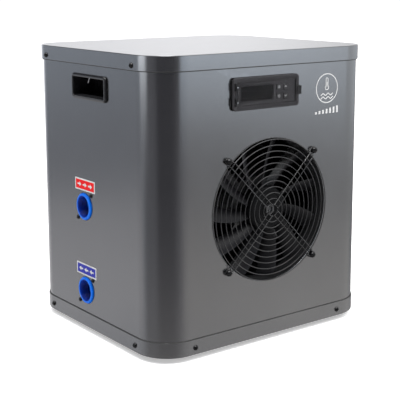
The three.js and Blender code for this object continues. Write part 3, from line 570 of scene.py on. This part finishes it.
def rear_panel():
    """The rear sheet with two columns of air slots."""
    inner, outer = low("rear_grille_panel"), high("rear_grille_panel")
    rows, pitch, first_z, column_x, past = 16, 20, 58, 66, 5
    slots = Shape()
    for row in range(rows):
        for sx in (-1, 1):
            slot = rounded(118, 13, 2.5, 4, sx * column_x, first_z + row * pitch)
            slots.prism(slot, front, inner.y - past, outer.y + past)
    panel = Shape().block(inner, outer)
    piece("rear_grille", panel, case_paint, ["rear_grille_panel"], cut=slots, bevel=0.35)


def handle(name, sign):
    """A glossy black grip cup pushed through the side wall, with long ridges on its lower lip."""
    at, place = middle(name), side(sign, sign * HALF_WIDTH)
    width, height = extent(name).y, extent(name).z
    depth, proud = 36, 3.8
    cup, ribs, glint_clip = (Shape((0, at.y, at.z)) for _ in range(3))
    lip = [(-5.2, -0.6), (-5.2, 2.2), (-4.2, proud), (-1.8, proud), (0, 2.0), (0, 0.3), (-3.4, 0.3)]
    outside = soft(lip, [0, 1.5, 1.4, 1.6, 1.4, 0.3, 0], 4) + [(-3.4, -depth)]
    inside = [(-5.2, -0.6), (-5.6, -depth + 3), (-6.6, -depth + 1.6)]
    for profile in (outside, inside):
        cup.sweep(rounded(width, height, 6, 8), profile, place, caps=("last",))
    piece(f"{name}_moulding", cup, gloss_plastic, [name], slot="black_plastic", smooth=45)
    reach = width / 2 - 9
    for up, out in ((4.3, 3.4), (5.0, 1.2), (5.5, -1.6), (6.0, -5.0)):
        ribs.tube([place(u, up - height / 2, out) for u in (-reach, reach)], 0.55)
    # A small steel clip on the upper lip; its bright steel stands in for the highlight on the lip's rib, a
    # painted highlight.
    bends = ((-1.0, 4.6, 0.8), (0.2, 8, 1.1), (2.0, 12, 1.5))
    glint_clip.tube([place(u, height / 2 - down, out) for u, down, out in bends], 0.65)
    piece(f"{name}_grip_ribs", ribs, gloss_plastic, slot="black_plastic")
    piece(f"{name}_clip", glint_clip, steel_pin, slot="zinc_steel")


def case_screws():
    """The screws of the lid, the base and the rear panel."""
    lid_x, lid_z, lid_ys = high("top_lid").x, 405.5, (-116, 118)
    base_x, base_z, base_ys = high("base_pan").x, 18.5, (-113, 118)
    front_x, rear_x, rear_zs = 134, 133.5, (60, 170, 280, 380)
    for name, sign, plane_of in (("left", -1, LEFTWARDS), ("right", 1, RIGHTWARDS)):
        screws(f"lid_screws_{name}", [((sign * lid_x, y, lid_z), plane_of) for y in lid_ys])
        screws(f"base_screws_{name}", [((sign * base_x, y, base_z), plane_of) for y in base_ys])
    ahead = low("base_pan").y
    screws("base_screws_front", [((x, ahead, base_z), outwards) for x in (-front_x, front_x)])
    rear = [((x, HALF_DEPTH, z), front) for x in (-rear_x, rear_x) for z in rear_zs]
    screws("rear_panel_screws", rear, 3.2, 2)


# ---- Fan ----
def fan_ring():
    """The black shroud behind the fan opening, and the rolled edge of the sheet round the opening."""
    shroud = [(102.4, 1.5), (118, 1.5), (118, 3.5), (104.6, 3.5), (104.6, 30)]
    shroud += [(111, 37), (111, 39), (108.6, 39), (102.4, 31)]
    shroud = soft(shroud, [0.4, 0.4, 0.4, 0.4, 3, 0.8, 0.5, 0.5, 3], loop=True)
    collar = [(105.5, -0.02), (102.9, -0.02), (102.9, 3.6), (103.15, 3.6), (103.15, 1.3), (105.5, 1.3)]
    collar = soft(collar, [0, 0.9, 0, 0, 0, 0], 6, loop=True)
    ring, rim = (Shape(FAN_AT).sweep(round_about(128), p, front, loop=True) for p in (shroud, collar))
    piece("fan_ring", ring, black_plastic, ["fan_shroud"], smooth=45)
    piece("fan_opening_rim", rim, case_paint, smooth=50)


def guard_grille():
    """Wire rings on four double arms, each of which ends in an eye round its screw."""
    wire, pitch, rings, ring_y = 0.7, 8.49, 12, -4
    arm_y, eye_y, eye_at, gap = ring_y - 1.7 * wire, -1.2, 78.5 * math.sqrt(2), 4.3
    shape = Shape(FAN_AT)
    for k in range(1, rings + 1):
        section = round_about(10, k * pitch, ring_y)(wire)
        shape.sweep(round_about(24 + 8 * k), section, front, loop=True)
    arm = [(6, arm_y, -gap), (102.5, arm_y, -gap), (105.9, eye_y, -gap), (eye_at, eye_y, -gap)]
    eye = [(a, eye_y, w) for a, w in arc(gap, -90, 180, 8, eye_at)[1:-1]]
    there_and_back = soft(arm + eye + [(a, y, -w) for a, y, w in reversed(arm)], 1.6)
    for diagonal in range(4):
        turn = math.pi / 4 + diagonal * math.pi / 2
        c, s = math.cos(turn), math.sin(turn)
        shape.tube([(a * c - w * s, y, a * s + w * c) for a, y, w in there_and_back], wire, 10)
    piece("guard_grille", shape, guard_wire, ["fan_guard"])


def guard_screws():
    """The four tall dome screws that hold the guard by its eyes."""
    for corner in ("upper_left", "upper_right", "lower_left", "lower_right"):
        node = f"guard_screw_{corner}"
        at, top = middle(node), FRONT - low(node).y
        head, cross = (Shape((at.x, FRONT, at.z)) for _ in range(2))
        dome = [(0, top), (2.6, top - 0.5), (4.4, top - 2.3), (5, top - 5.1), (4.6, 2.8), (0, 2.8)]
        head.sweep(round_about(32), soft(dome, [0, 1.2, 1.2, 0.4, 0.4, 0]), outwards)
        cross.prism(plus(2.3, 0.5), outwards, top - 1.8, top + 1)
        piece(f"{node}_head", head, black_screw, [node], cut=cross, smooth=40)


def blade(root, tip, turn):
    """The sections of one twisted, swept blade, from its root in the hub to its tip."""
    stations, across, middle_y = 12, 10, 20
    root_chord, added_chord, tip_cut, tip_from = 19, 10, 2.25, 0.85
    root_pitch, lost_pitch, swept_back, half_thick, camber = 50, 16, 14, 0.85, 2.2
    shares = [j / across - 0.5 for j in range(across + 1)]
    section = [(s, -1) for s in shares] + [(s, 1) for s in reversed(shares[1:-1])]
    rings = []
    for i in range(stations + 1):
        t = i / stations
        r = root + (tip - root) * t
        chord = root_chord + added_chord * t - tip_cut * (max(0.0, t - tip_from) / (1 - tip_from)) ** 2
        pitch, sweep = math.radians(root_pitch - lost_pitch * t), math.radians(-swept_back * t)
        points = []
        for s, face in section:
            thick = half_thick * (1.0 - 0.75 * abs(2 * s) ** 3) * face
            along = s * chord * math.cos(pitch) + thick * math.sin(pitch)
            bow = thick * math.cos(pitch) - camber * (1 - 4 * s * s)
            a = turn + sweep + along / r
            points.append((r * math.cos(a), middle_y - s * chord * math.sin(pitch) + bow, r * math.sin(a)))
        rings.append(points)
    return rings


def rotor():
    """The hub and its blades; each blade's front edge is on the side it turns towards."""
    hub, tip, blades, phase = 33, 99.5, 11, -6.6
    core, vanes = Shape(FAN_AT), Shape(FAN_AT)
    cup = [(4.3, 6), (28, 6), (31.5, 7.4), (hub, 11), (hub, 32)]
    cup += [(hub - 3, 32), (hub - 3, 10), (11, 10), (11, 30), (4.3, 30)]
    radii = [0.3, 1.5, 1.6, 2, 0.4, 0.4, 1, 1, 0.4, 0.3]
    core.sweep(round_about(96), soft(cup, radii, loop=True), front, loop=True)
    for ridge in (11.5, 14.5, 24.5):
        crest = [(ridge - 0.9, 6.2), (ridge - 0.4, 5.4), (ridge + 0.4, 5.4), (ridge + 0.9, 6.2)]
        core.sweep(round_about(64), crest, front)
    for k in range(blades):
        vanes.skin(blade(hub - 1.2, tip, math.radians(phase + k * 360 / blades)), caps=BOTH)
    piece("fan_hub", core, hub_plastic, body="impeller", slot="fan_plastic", smooth=40)
    piece("fan_rotor", vanes, fan_plastic, ["fan_impeller"], "impeller", smooth=40)


# ---- Controller ----
KEYS = ("set", "up", "down", "power")
KNUCKLES = (-10.3, 10.3)
BEZEL_WIDTH = 118.4
BEZEL = rounded(BEZEL_WIDTH, 45.3, 5, 8)


def on_display(width, height, radius, per_corner):
    """A round-cornered outline about the middle of the display."""
    return rounded(width, height, radius, per_corner, -17.5, 0.4)


def control_frame():
    """The bezel, a dark strip on its inner edge as painted shadow of the gap to the plate, and the lugs of
    the flip cover's hinge.
    """
    frame_ring, line, lugs = (Shape(CONTROL_AT) for _ in range(3))
    profile = [(-7.3, -1.6), (-7.3, -4.6), (-6.4, -5.3), (0, -5.3), (0, -1.6)]
    frame_ring.sweep(BEZEL, soft(profile, [0, 0.5, 0.5, 1.2, 0], 5, loop=True), front, loop=True)
    piece("control_frame", frame_ring, control_grey, ["controller_bezel"], smooth=45)
    # Painted shadow: a near-black strip over the bezel's inner chamfer, for the shade in the gap to the
    # plate.
    line.sweep(BEZEL, [(-7.5, -4.7), (-6.5, -5.36), (-6.4, -5.2), (-7.4, -4.6)], front, loop=True)
    piece("plate_shadow_line", line, control_edge, slot="control_grey")
    for knuckle in KNUCKLES:
        for start in (knuckle - 4.9, knuckle + 2.9):
            lugs.block((-58.1, -8.7, start), (-54.7, -5, start + 2))
    piece("control_hinge_lugs", lugs, control_edge, slot="control_grey", bevel=0.4)


def control_face():
    """The face plate with its display, and the box behind it."""
    plate, holes, box, line, glass = (Shape(CONTROL_AT) for _ in range(5))
    edge = soft([(-3, -1.6), (0, -1.6), (0, -4.9), (-3, -4.9)], [0, 0.2, 0.5, 0])
    plate.sweep(rounded(103.2, 39.2, 1.2, 4), edge, front, caps=BOTH)
    holes.prism(on_display(56.7, 20.7, 0.6, 3), front, -8, -3.6)
    for key in KEYS:
        at = middle(f"button_{key}") - CONTROL_AT
        holes.prism(rounded(8.6, 8.6, 0.8, 3, at.x, at.z), front, -8, 2)
    piece("control_face", plate, control_grey, ["controller_module"], cut=holes, bevel=0.2)
    walls = [(0, -1.55), (0, 52), (-1.5, 52), (-1.5, -1.55)]
    box.sweep(rounded(96, 34, 1.5, 3), walls, front, loop=True)
    piece("control_box", box, control_grey, bevel=0.3)
    section = [(0, -4.85), (0, -5.15), (0.7, -5.15), (0.7, -4.85)]
    line.sweep(on_display(58.6, 22.6, 1.4, 4), section, front, loop=True)
    piece("display_surround", line, control_edge, slot="control_grey")
    pane = soft([(-2, -3.9), (0, -3.9), (0, -4.8), (-2, -4.8)], [0, 0, 0.4, 0])
    glass.sweep(on_display(56.2, 20.2, 0.5, 3), pane, front, caps=BOTH)
    piece("display_glass", glass, screen_black, ["display_window"])


def icon_lines(key):
    """Strokes of a generic icon on an 8 mm key, as rows of points in millimetres."""
    if key == "up":
        return [[(-1.9, -1), (0, 1.3), (1.9, -1)]]
    if key == "down":
        return [[(-1.9, 1), (0, -1.3), (1.9, 1)]]
    if key == "set":
        return [[(-2, z), (2, z)] for z in (-1.4, 0, 1.4)]
    return [arc(1.8, 130, 280, 12), [(0, 0.4), (0, 2.2)]]


def keys():
    """Each key's cap with its hidden flange, and the icon printed on it."""
    for key in KEYS:
        at = middle(f"button_{key}") - CONTROL_AT
        cap, ink = Shape(CONTROL_AT), Shape(CONTROL_AT)
        dome = soft([(0, -0.5), (0, -5.9), (-1.6, -5.6), (-3.9, -5.5)], [0, 0.6, 0.8, 0])
        cap.sweep(rounded(8, 8, 0.9, 4, at.x, at.z), dome, front, caps=BOTH)
        cap.prism(rounded(10.4, 10.4, 0.8, 3, at.x, at.z), front, -0.5, -1.3)
        piece(f"key_{key}_cap", cap, key_grey, [f"button_{key}"], f"key_{key}")
        for line in icon_lines(key):
            ink.tube([(at.x + u, -5.62, at.z + v) for u, v in line], 0.38, 6)
        piece(f"key_{key}_icon", ink, key_ink, body=f"key_{key}", slot="key_grey")


def flip_cover():
    """A clear lid; its knuckles and latch tab are the solid dark parts."""
    left, right, half_height = -53.9, 54.5, 21.6
    barrel_x, barrel_y, reach = -56.3, -7.3, 2.5
    outline = rounded(right - left, 2 * half_height, 3.2, 6, (left + right) / 2, 0)
    lens, rim, hardware, rivets, pin = (Shape(CONTROL_AT) for _ in range(5))
    tray = [(-4, -7.8), (-1.2, -7.8), (-1.2, -5.6), (0, -5.6), (0, -9), (-4, -9)]
    lens.sweep(outline, soft(tray, [0, 0.4, 0.3, 0.3, 1.0, 0]), front, caps=BOTH)
    piece("cover_lens", lens, clear_cover, ["flip_cover"], "cover", smooth=45)
    rim.sweep(outline, [(-2.6, -8.9), (-3.4, -8.9), (-3.4, -9.05), (-2.6, -9.05)], front, loop=True)
    piece("cover_line", rim, control_edge, body="cover", slot="clear_cover")
    for knuckle in KNUCKLES:
        hardware.tube([(barrel_x, barrel_y, knuckle + s * reach) for s in (-1, 1)], 1.65, 16)
        hardware.block((barrel_x, -8.9, knuckle - reach), (left + 2.2, -7.9, knuckle + reach))
        rivets.tube([(barrel_x + 1.2, y, knuckle) for y in (-8.6, -9.3)], 0.8, 12)
    tab = BEZEL_WIDTH / 2 + 0.5
    hardware.block((right - 2, -8.9, -6), (tab + 0.7, -7.7, 6))
    hardware.block((tab + 0.1, -7.7, -6), (tab + 1.2, -2.1, 6))
    for z in (-4.2, -2.1, 0, 2.1, 4.2):
        hardware.block((tab + 1.1, -8.2, z - 0.45), (tab + 1.7, -2.6, z + 0.45))
    piece("cover_hardware", hardware, control_edge, body="cover", slot="clear_cover", bevel=0.3)
    piece("cover_rivets", rivets, steel_pin, body="cover", slot="clear_cover")
    pin.tube([(barrel_x, barrel_y, z) for z in (-15.2, 15.2)], 0.7, 12)
    for end in (-1, 1):
        pin.tube([(barrel_x, barrel_y, end * z) for z in (15.15, 15.5, 15.75)], 0.95, 12)
    piece("cover_pin", pin, shaft_steel, ["cover_hinge_pin"], slot="zinc_steel")


# ---- Water unions and the gland ----
def union(node):
    """A blue bush with a helical pipe thread in its mouth, and its two screws."""
    at, place = middle(node), side(-1, -HALF_WIDTH)
    ring, bore, pitch, depth, screw_circle = 19.75, 15.2, 2.309, 1.1, 26.7
    proud, lining = -HALF_WIDTH - low(node).x, bore + 1.0
    segments, per_pitch, threaded = 64, 8, 15.0
    outside = [
        (lining, proud), (ring - 1.1, proud), (ring, proud - 1.2), (ring, -1.5), (31, -1.5), (31, -4.5),
        (ring, -4.5), (ring, -13.7), (14.6, -13.7), (14.6, -25), (11, -25), (11, -14.5), (lining, -13),
    ]
    body = soft(outside, [0.4, 1.0, 0.5, 0, 0.5, 0.5, 0, 1, 0, 0.4, 0.4, 0, 0], 4, loop=True)
    bush, thread = (Shape((0, at.y, at.z)) for _ in range(2))
    bush.sweep(round_about(segments), body, place, loop=True)
    piece(f"{node}_bush", bush, blue_fitting, [node], smooth=40)
    rings = []
    steps = int(threaded / pitch * per_pitch)
    run_in, flare, sunk = 1 / 8, 0.6, 0.3
    for i in range(steps + 1):
        t = i / steps
        out = proud - threaded * t
        points = []
        for k in range(segments):
            a = 2 * math.pi * k / segments
            phase = (out / pitch + k / segments) % 1.0
            crest = 1 - abs(2 * phase - 1)
            fade = min(1.0, t / run_in, (1 - t) / run_in)
            r = bore + flare * max(0.0, 1 - t / run_in) - depth * crest * fade
            points.append(place(r * math.cos(a), r * math.sin(a), out - sunk))
        rings.append(points)
    for out in (proud - threaded, proud - sunk):
        rings.append([place(u, v, out) for u, v in round_about(segments)(lining + 0.1)])
    # The thread is drawn in the darker blue as painted shade inside the bore.
    piece(f"{node}_thread", thread.skin(rings, loop=True), blue_thread, slot="blue_fitting", smooth=60)
    reach = screw_circle / math.sqrt(2)
    places = [((-HALF_WIDTH, at.y + s * reach, at.z - s * reach), LEFTWARDS) for s in (-1, 1)]
    screws(f"{node}_screws", places, 3.4, 2.4)


def gland():
    """The cable gland: its body, a hexagon nut against the wall and a ribbed cap."""
    shape = Shape((HALF_WIDTH, GLAND_AT.y, GLAND_AT.z))
    body = [(5, -10), (8.2, -10), (8.2, 0.3), (9.6, 0.3), (9.6, 8.2)]
    body += [(9.2, 9.4), (9, 13), (7.5, 16), (5.6, 16), (5, 14.6)]
    body = soft(body, [0, 0.4, 0, 0, 0.5, 0.8, 1.4, 0.8, 0.4, 0.4], loop=True)
    shape.sweep(round_about(48), body, RIGHTWARDS, loop=True)
    nut = [(8, 0.3), (11.6, 0.3), (12, 0.8), (12, 5.4), (11.4, 6), (8, 6)]
    shape.sweep(round_about(6), nut, RIGHTWARDS)
    for y, z in round_about(18)(9.5):
        shape.tube([(6.6, y, z), (9, y, z), (12.6, y * 0.95, z * 0.95)], 0.55, 6)
    piece("gland_body", shape, black_plastic, ["cable_gland"])


# ---- Labels ----
def port_label(name, y, z, ink, direction):
    """A coloured label with a white border and plain arrows for the way the water goes."""
    origin, thick, tip = (-HALF_WIDTH, y, z), 0.22, direction * 5.5
    border, field = rounded(55.5, 17.5, 0.8, 3), rounded(51.1, 13.4, 0.5, 3)
    for part, outline, material, lift in (("border", border, label_white, 0.25), ("field", field, ink, 0.42)):
        edge = soft([(-1, lift - thick), (0, lift - thick), (0, lift), (-1, lift)], [0, 0, 0.08, 0], 1)
        film = Shape(origin).sweep(outline, edge, LEFTWARDS, caps=BOTH)
        piece(f"{name}_{part}", film, material, slot=None)
    arrows = Shape(origin)
    arrow = [(-tip, -1.1), (0, -1.1), (0, -3.4), (tip, 0), (0, 3.4), (0, 1.1), (-tip, 1.1)]
    for start in (-15, 0, 15):
        arrows.prism(lambda grow: [(start + u, v) for u, v in arrow], LEFTWARDS, 0.4, 0.58)
    piece(f"{name}_arrows", arrows, label_white, slot=None)


def stroke(shape, points, width):
    """A flat printed line of one width on the front face, along a row of (u, v) points."""
    path = [Vector(p) for p in points]
    count, last, start = len(path), len(path) - 1, len(shape.points)
    rims = []
    for i, p in enumerate(path):
        ahead = (path[min(i + 1, last)] - path[max(i - 1, 0)]).normalized()
        across = Vector((-ahead.y, ahead.x)) * width / 2
        rims.append((p - across, p + across))
    outline = [a for a, _ in rims] + [b for _, b in reversed(rims)]
    shape.skin([[outwards(u, v, d) for u, v in outline] for d in (0.02, 0.3)])
    for base in (start, start + 2 * count):
        for i in range(last):
            far = base + 2 * count - 1 - i
            shape.faces.append((base + i, base + i + 1, far - 1, far))


def front_mark():
    """A generic pictogram: a thermometer over two waves in a ring, with a row of level bars."""
    mark_x, mark_z, radius, bold, fine = 106, 360, 21, 1.3, 1.1
    swell, wavelength, wave_from, bulb_z, stem_top = 1.4, 10, -12, 1, 13
    bars, bar_gap, bar_width, bar_foot, first_top, step = 7, 7, 3.4, -37, -33.6, 1.1
    shape = Shape((mark_x, FRONT, mark_z))
    stroke(shape, arc(radius, 0, 360, 64), bold)
    for z in (-9, -14):
        xs = [wave_from + k / 2 for k in range(49)]
        stroke(shape, [(x, z + swell * math.sin(x / wavelength * 2 * math.pi)) for x in xs], bold)
    bulb = arc(3.4, 125, 290, 24, 0, bulb_z)
    stroke(shape, [bulb[0], *arc(1.95, 180, -180, 10, 0, stem_top), bulb[-1]], fine)
    stroke(shape, bulb, fine)
    stroke(shape, [(0, bulb_z), (0, 9)], 1.2)
    for k in range(bars):
        x = -radius + bar_gap * k
        stroke(shape, [(x, bar_foot), (x, first_top + step * k)], bar_width)
    piece("front_pictogram", shape, label_white, slot=None)


# ---- Inside ----
def fin_pack():
    """Thin corrugated fins on two rows of tubes; the waves hide what is behind them."""
    inner, outer = low("evaporator_fins"), high("evaporator_fins")
    pitch, thick, wave, settling = 2.4, 0.28, 2.2, 4
    count = int((outer.x - inner.x) / pitch)
    fins, tubes = Shape(), Shape()
    for i in range(count + 1):
        x = inner.x + thick / 2 + (outer.x - inner.x - thick) * i / count
        swing = wave * min(1, i / settling, (count - i) / settling)
        rings = []
        for share, bend in ((0, 0), (0.25, 1), (0.5, 0), (0.75, -1), (1, 0)):
            y, middle_x = inner.y + (outer.y - inner.y) * share, x + bend * swing
            corners = ((-1, inner.z), (1, inner.z), (1, outer.z), (-1, outer.z))
            rings.append([(middle_x + sx * thick / 2, y, z) for sx, z in corners])
        fins.skin(rings, caps=BOTH)
    piece("evaporator_fin_pack", fins, fin_aluminium, ["evaporator_fins"])
    rows, row_pitch, first_z, tube_radius = 13, 25.4, inner.z + 18, 4
    for column, y in enumerate((inner.y + 9, outer.y - 9)):
        for row in range(rows):
            z = first_z + (row + column / 2) * row_pitch
            if z < outer.z - 2 * tube_radius:
                tubes.tube([(inner.x + 1, y, z), (outer.x - 1, y, z)], tube_radius, 12)
    piece("evaporator_tube_rows", tubes, copper_tube)


FINISHES = (
    (shaft_steel, ("fan_shaft",)),
    (black_steel, ("fan_hub_nut", "fan_motor", "motor_bracket", "compressor", "accumulator")),
    (gasket_foam, ("controller_gasket",)),
    (control_grey, ("controller_back_cover",)),
    (board_green, ("controller_board",)),
    (white_plastic, ("exchanger_shell", "exchanger_bottom_cap", "exchanger_top_cap", "run_capacitor")),
    (titanium_tube, ("titanium_coil",)),
    (brass_fitting, ("flow_switch", "flow_switch_paddle")),
    (black_plastic, ("compressor_terminal_cover", "terminal_block")),
    (black_rubber, ("compressor_mount_1", "compressor_mount_2", "compressor_mount_3")),
    (black_rubber, ("discharge_pipe", "suction_pipe")),
    (copper_tube, ("evaporator_end_left", "evaporator_end_right", "liquid_pipe")),
    (copper_tube, ("filter_drier", "capillary_tube")),
    (zinc_steel, ("electrical_box", "electrical_box_cover")),
)
SOFT_NODES = ("compressor", "accumulator", "titanium_coil", "filter_drier", "capillary_tube")


def inside_pieces():
    """The CAD pieces inside the case keep their shape and get their finish and round shading."""
    for finish, nodes in FINISHES:
        for node in nodes:
            data = NODES[node].data
            data.materials.clear()
            data.materials.append(finish)
            curved = node.endswith("pipe") or node in SOFT_NODES
            data.shade_smooth()
            data.set_sharp_from_angle(angle=math.radians(60 if curved else 32))


# ---- Studio ----
def studio_camera():
    """In front of the unit and to its left, a little above the lid; the angles are in radians."""
    yaw, pitch, roll = 0.6486, 0.1758, -0.0017
    distance, slide, aim_z = 1554.5584, 16.7684, low("base_pan").z + 239.3308
    ahead = Vector((math.sin(yaw) * math.cos(pitch), math.cos(yaw) * math.cos(pitch), -math.sin(pitch)))
    right = Vector((math.cos(yaw), -math.sin(yaw), 0))
    turned_right = right * math.cos(roll) + right.cross(ahead) * math.sin(roll)
    camera = bpy.data.cameras.new("camera")
    camera.sensor_width, camera.lens = 36, 90.4932
    camera.shift_x, camera.shift_y = -0.02495, -0.1103
    obj = bpy.data.objects.new("camera", camera)
    bpy.context.scene.collection.objects.link(obj)
    obj.location = (right * slide - ahead * distance + Vector((0, 0, aim_z))) * MM + CENTRE
    obj.rotation_mode = "QUATERNION"
    axes = Matrix((turned_right, turned_right.cross(ahead), -ahead)).transposed()
    obj.rotation_quaternion = axes.to_quaternion()
    bpy.context.scene.camera = obj


def area_light(name, azimuth, elevation, distance, width, power, glossy=True):
    """A square soft light, in metres and degrees; azimuth 0 is in front of the object, 90 to its right."""
    light = bpy.data.lights.new(name, "AREA")
    light.size, light.energy = width, power
    obj = bpy.data.objects.new(name, light)
    bpy.context.scene.collection.objects.link(obj)
    a, e = math.radians(azimuth), math.radians(elevation)
    away = Vector((math.sin(a) * math.cos(e), -math.cos(a) * math.cos(e), math.sin(e)))
    obj.location = Vector((0, 0, 0.2)) + away * distance
    obj.rotation_mode = "QUATERNION"
    obj.rotation_quaternion = away.to_track_quat("Z", "Y")
    obj.visible_camera = False
    obj.visible_glossy = glossy


# Each soft panel round the object: azimuth, elevation, half width, half height, softness in
# azimuth and in elevation, all in degrees, and its brightness.
PANELS = [
    (-152, -8, 14, 16, 42, 14, (0.37, 0.39, 0.425)),
    (-150, 2, 14, 4, 50, 8, (0.26, 0.31, 0.36)),
    (-155, -16, 24, 2, 24, 3.6, (0.38, 0.355, 0.335)),
    (-92, -6, 10, 10, 26, 12, (0.17, 0.175, 0.185)),
    (-109, 3, 5.5, 5.5, 12, 5.2, (2.9, 3.0, 3.1)),
    (62, -12, 22, 22, 60, 20, (0.30, 0.30, 0.30)),
    (64, -12, 18, 20, 14, 10, (0.19, 0.19, 0.18)),
    (50, -17, 18, 1.5, 26, 3.5, (0.24, 0.22, 0.19)),
    (26, -1, 10, 2.5, 14, 6, (1.17, 1.34, 1.52)),
    (75, -2, 27, 3.5, 12, 6, (0.30, 0.35, 0.40)),
    (0, -40, 179, 14, 1, 13, (0.40, 0.385, 0.37)),
    (160, 6, 12, 10, 19, 16, (0.95, 0.95, 0.97)),
    (0, 66, 179, 14, 1, 18, (2.2, 2.2, 2.2)),
    (90, 25, 40, 18, 25, 20, (0.5, 0.5, 0.5)),
]
AMBIENT = (0.10, 0.10, 0.115)


def studio_world():
    """Soft panels of light round the object, each a smooth patch of the sky; the backdrop is white."""
    world = bpy.data.worlds.new("studio")
    bpy.context.scene.world = world
    world.use_nodes = True
    tree = world.node_tree
    tree.nodes.clear()

    def maths(operation, *values):
        return add_node(tree, "ShaderNodeMath", dict(enumerate(values)), operation=operation).outputs[0]

    def fade(value, full, none):
        numbers = dict(enumerate((value, none, full, 0.0, 1.0)))
        return add_node(tree, "ShaderNodeMapRange", numbers, interpolation_type="SMOOTHSTEP").outputs[0]

    direction = add_node(tree, "ShaderNodeTexCoord").outputs["Generated"]
    x, y, z = add_node(tree, "ShaderNodeSeparateXYZ", {0: direction}).outputs
    azimuth = maths("ARCTAN2", x, maths("MULTIPLY", y, -1.0))
    elevation = maths("ARCSINE", z)
    total = add_node(tree, "ShaderNodeCombineXYZ", dict(enumerate(AMBIENT))).outputs[0]
    for az, el, half_az, half_el, soft_az, soft_el, color in PANELS:
        turn = maths("COSINE", maths("SUBTRACT", azimuth, math.radians(az)))
        across = fade(turn, math.cos(math.radians(half_az)), math.cos(math.radians(half_az + soft_az)))
        height = maths("ABSOLUTE", maths("SUBTRACT", elevation, math.radians(el)))
        upward = fade(height, math.radians(half_el), math.radians(half_el + soft_el))
        share = maths("MULTIPLY", across, upward)
        lit = add_node(tree, "ShaderNodeVectorMath", {0: color, "Scale": share}, operation="SCALE").outputs[0]
        total = add_node(tree, "ShaderNodeVectorMath", {0: total, 1: lit}, operation="ADD").outputs[0]
    panels = add_node(tree, "ShaderNodeBackground", {"Color": total}).outputs[0]
    white = {"Color": (1, 1, 1, 1), "Strength": 1.05}
    backdrop = add_node(tree, "ShaderNodeBackground", white).outputs[0]
    seen = add_node(tree, "ShaderNodeLightPath").outputs["Is Camera Ray"]
    chosen = add_node(tree, "ShaderNodeMixShader", {0: seen, 1: panels, 2: backdrop}).outputs[0]
    add_node(tree, "ShaderNodeOutputWorld", {"Surface": chosen})


def studio_floor():
    """A wide pale floor; it glows a little, as a sheet of lit backdrop paper does."""
    reach = 14.0
    corners = [(-reach, -reach, 0), (reach, -reach, 0), (reach, reach, 0), (-reach, reach, 0)]
    mesh = bpy.data.meshes.new("floor")
    mesh.from_pydata(corners, [], [(0, 1, 2, 3)])
    obj = bpy.data.objects.new("floor", mesh)
    bpy.context.scene.collection.objects.link(obj)
    s = Surface("floor_paper", (0.86, 0.86, 0.86), 0.9, Emission_Strength=0.42, Specular_IOR_Level=0.0)
    s.shader.inputs["Emission Color"].default_value = (1, 1, 1, 1)
    s.tint(s.noise(900, 2), (0.88, 0.88, 0.88), 0.5)
    mesh.materials.append(s.done())
    obj.visible_glossy = False


case_wrap()
lid_shell()
base_tray()
case_feet()
rear_panel()
handle("handle_cup_left", -1)
handle("handle_cup_right", 1)
case_screws()
fan_ring()
guard_grille()
guard_screws()
rotor()
control_frame()
control_face()
keys()
flip_cover()
union("union_outlet")
union("union_inlet")
gland()
port_label("outlet_label", y=16.1, z=223, ink=label_red, direction=-1)
port_label("inlet_label", y=17, z=95.3, ink=label_blue, direction=1)
front_mark()
fin_pack()
inside_pieces()
studio_camera()
studio_world()
area_light("key", azimuth=42, elevation=38, distance=2.2, width=1.2, power=20, glossy=False)
area_light("top", azimuth=-40, elevation=70, distance=2.2, width=1.0, power=34)
studio_floor()
bpy.context.scene.view_settings.view_transform = "Standard"
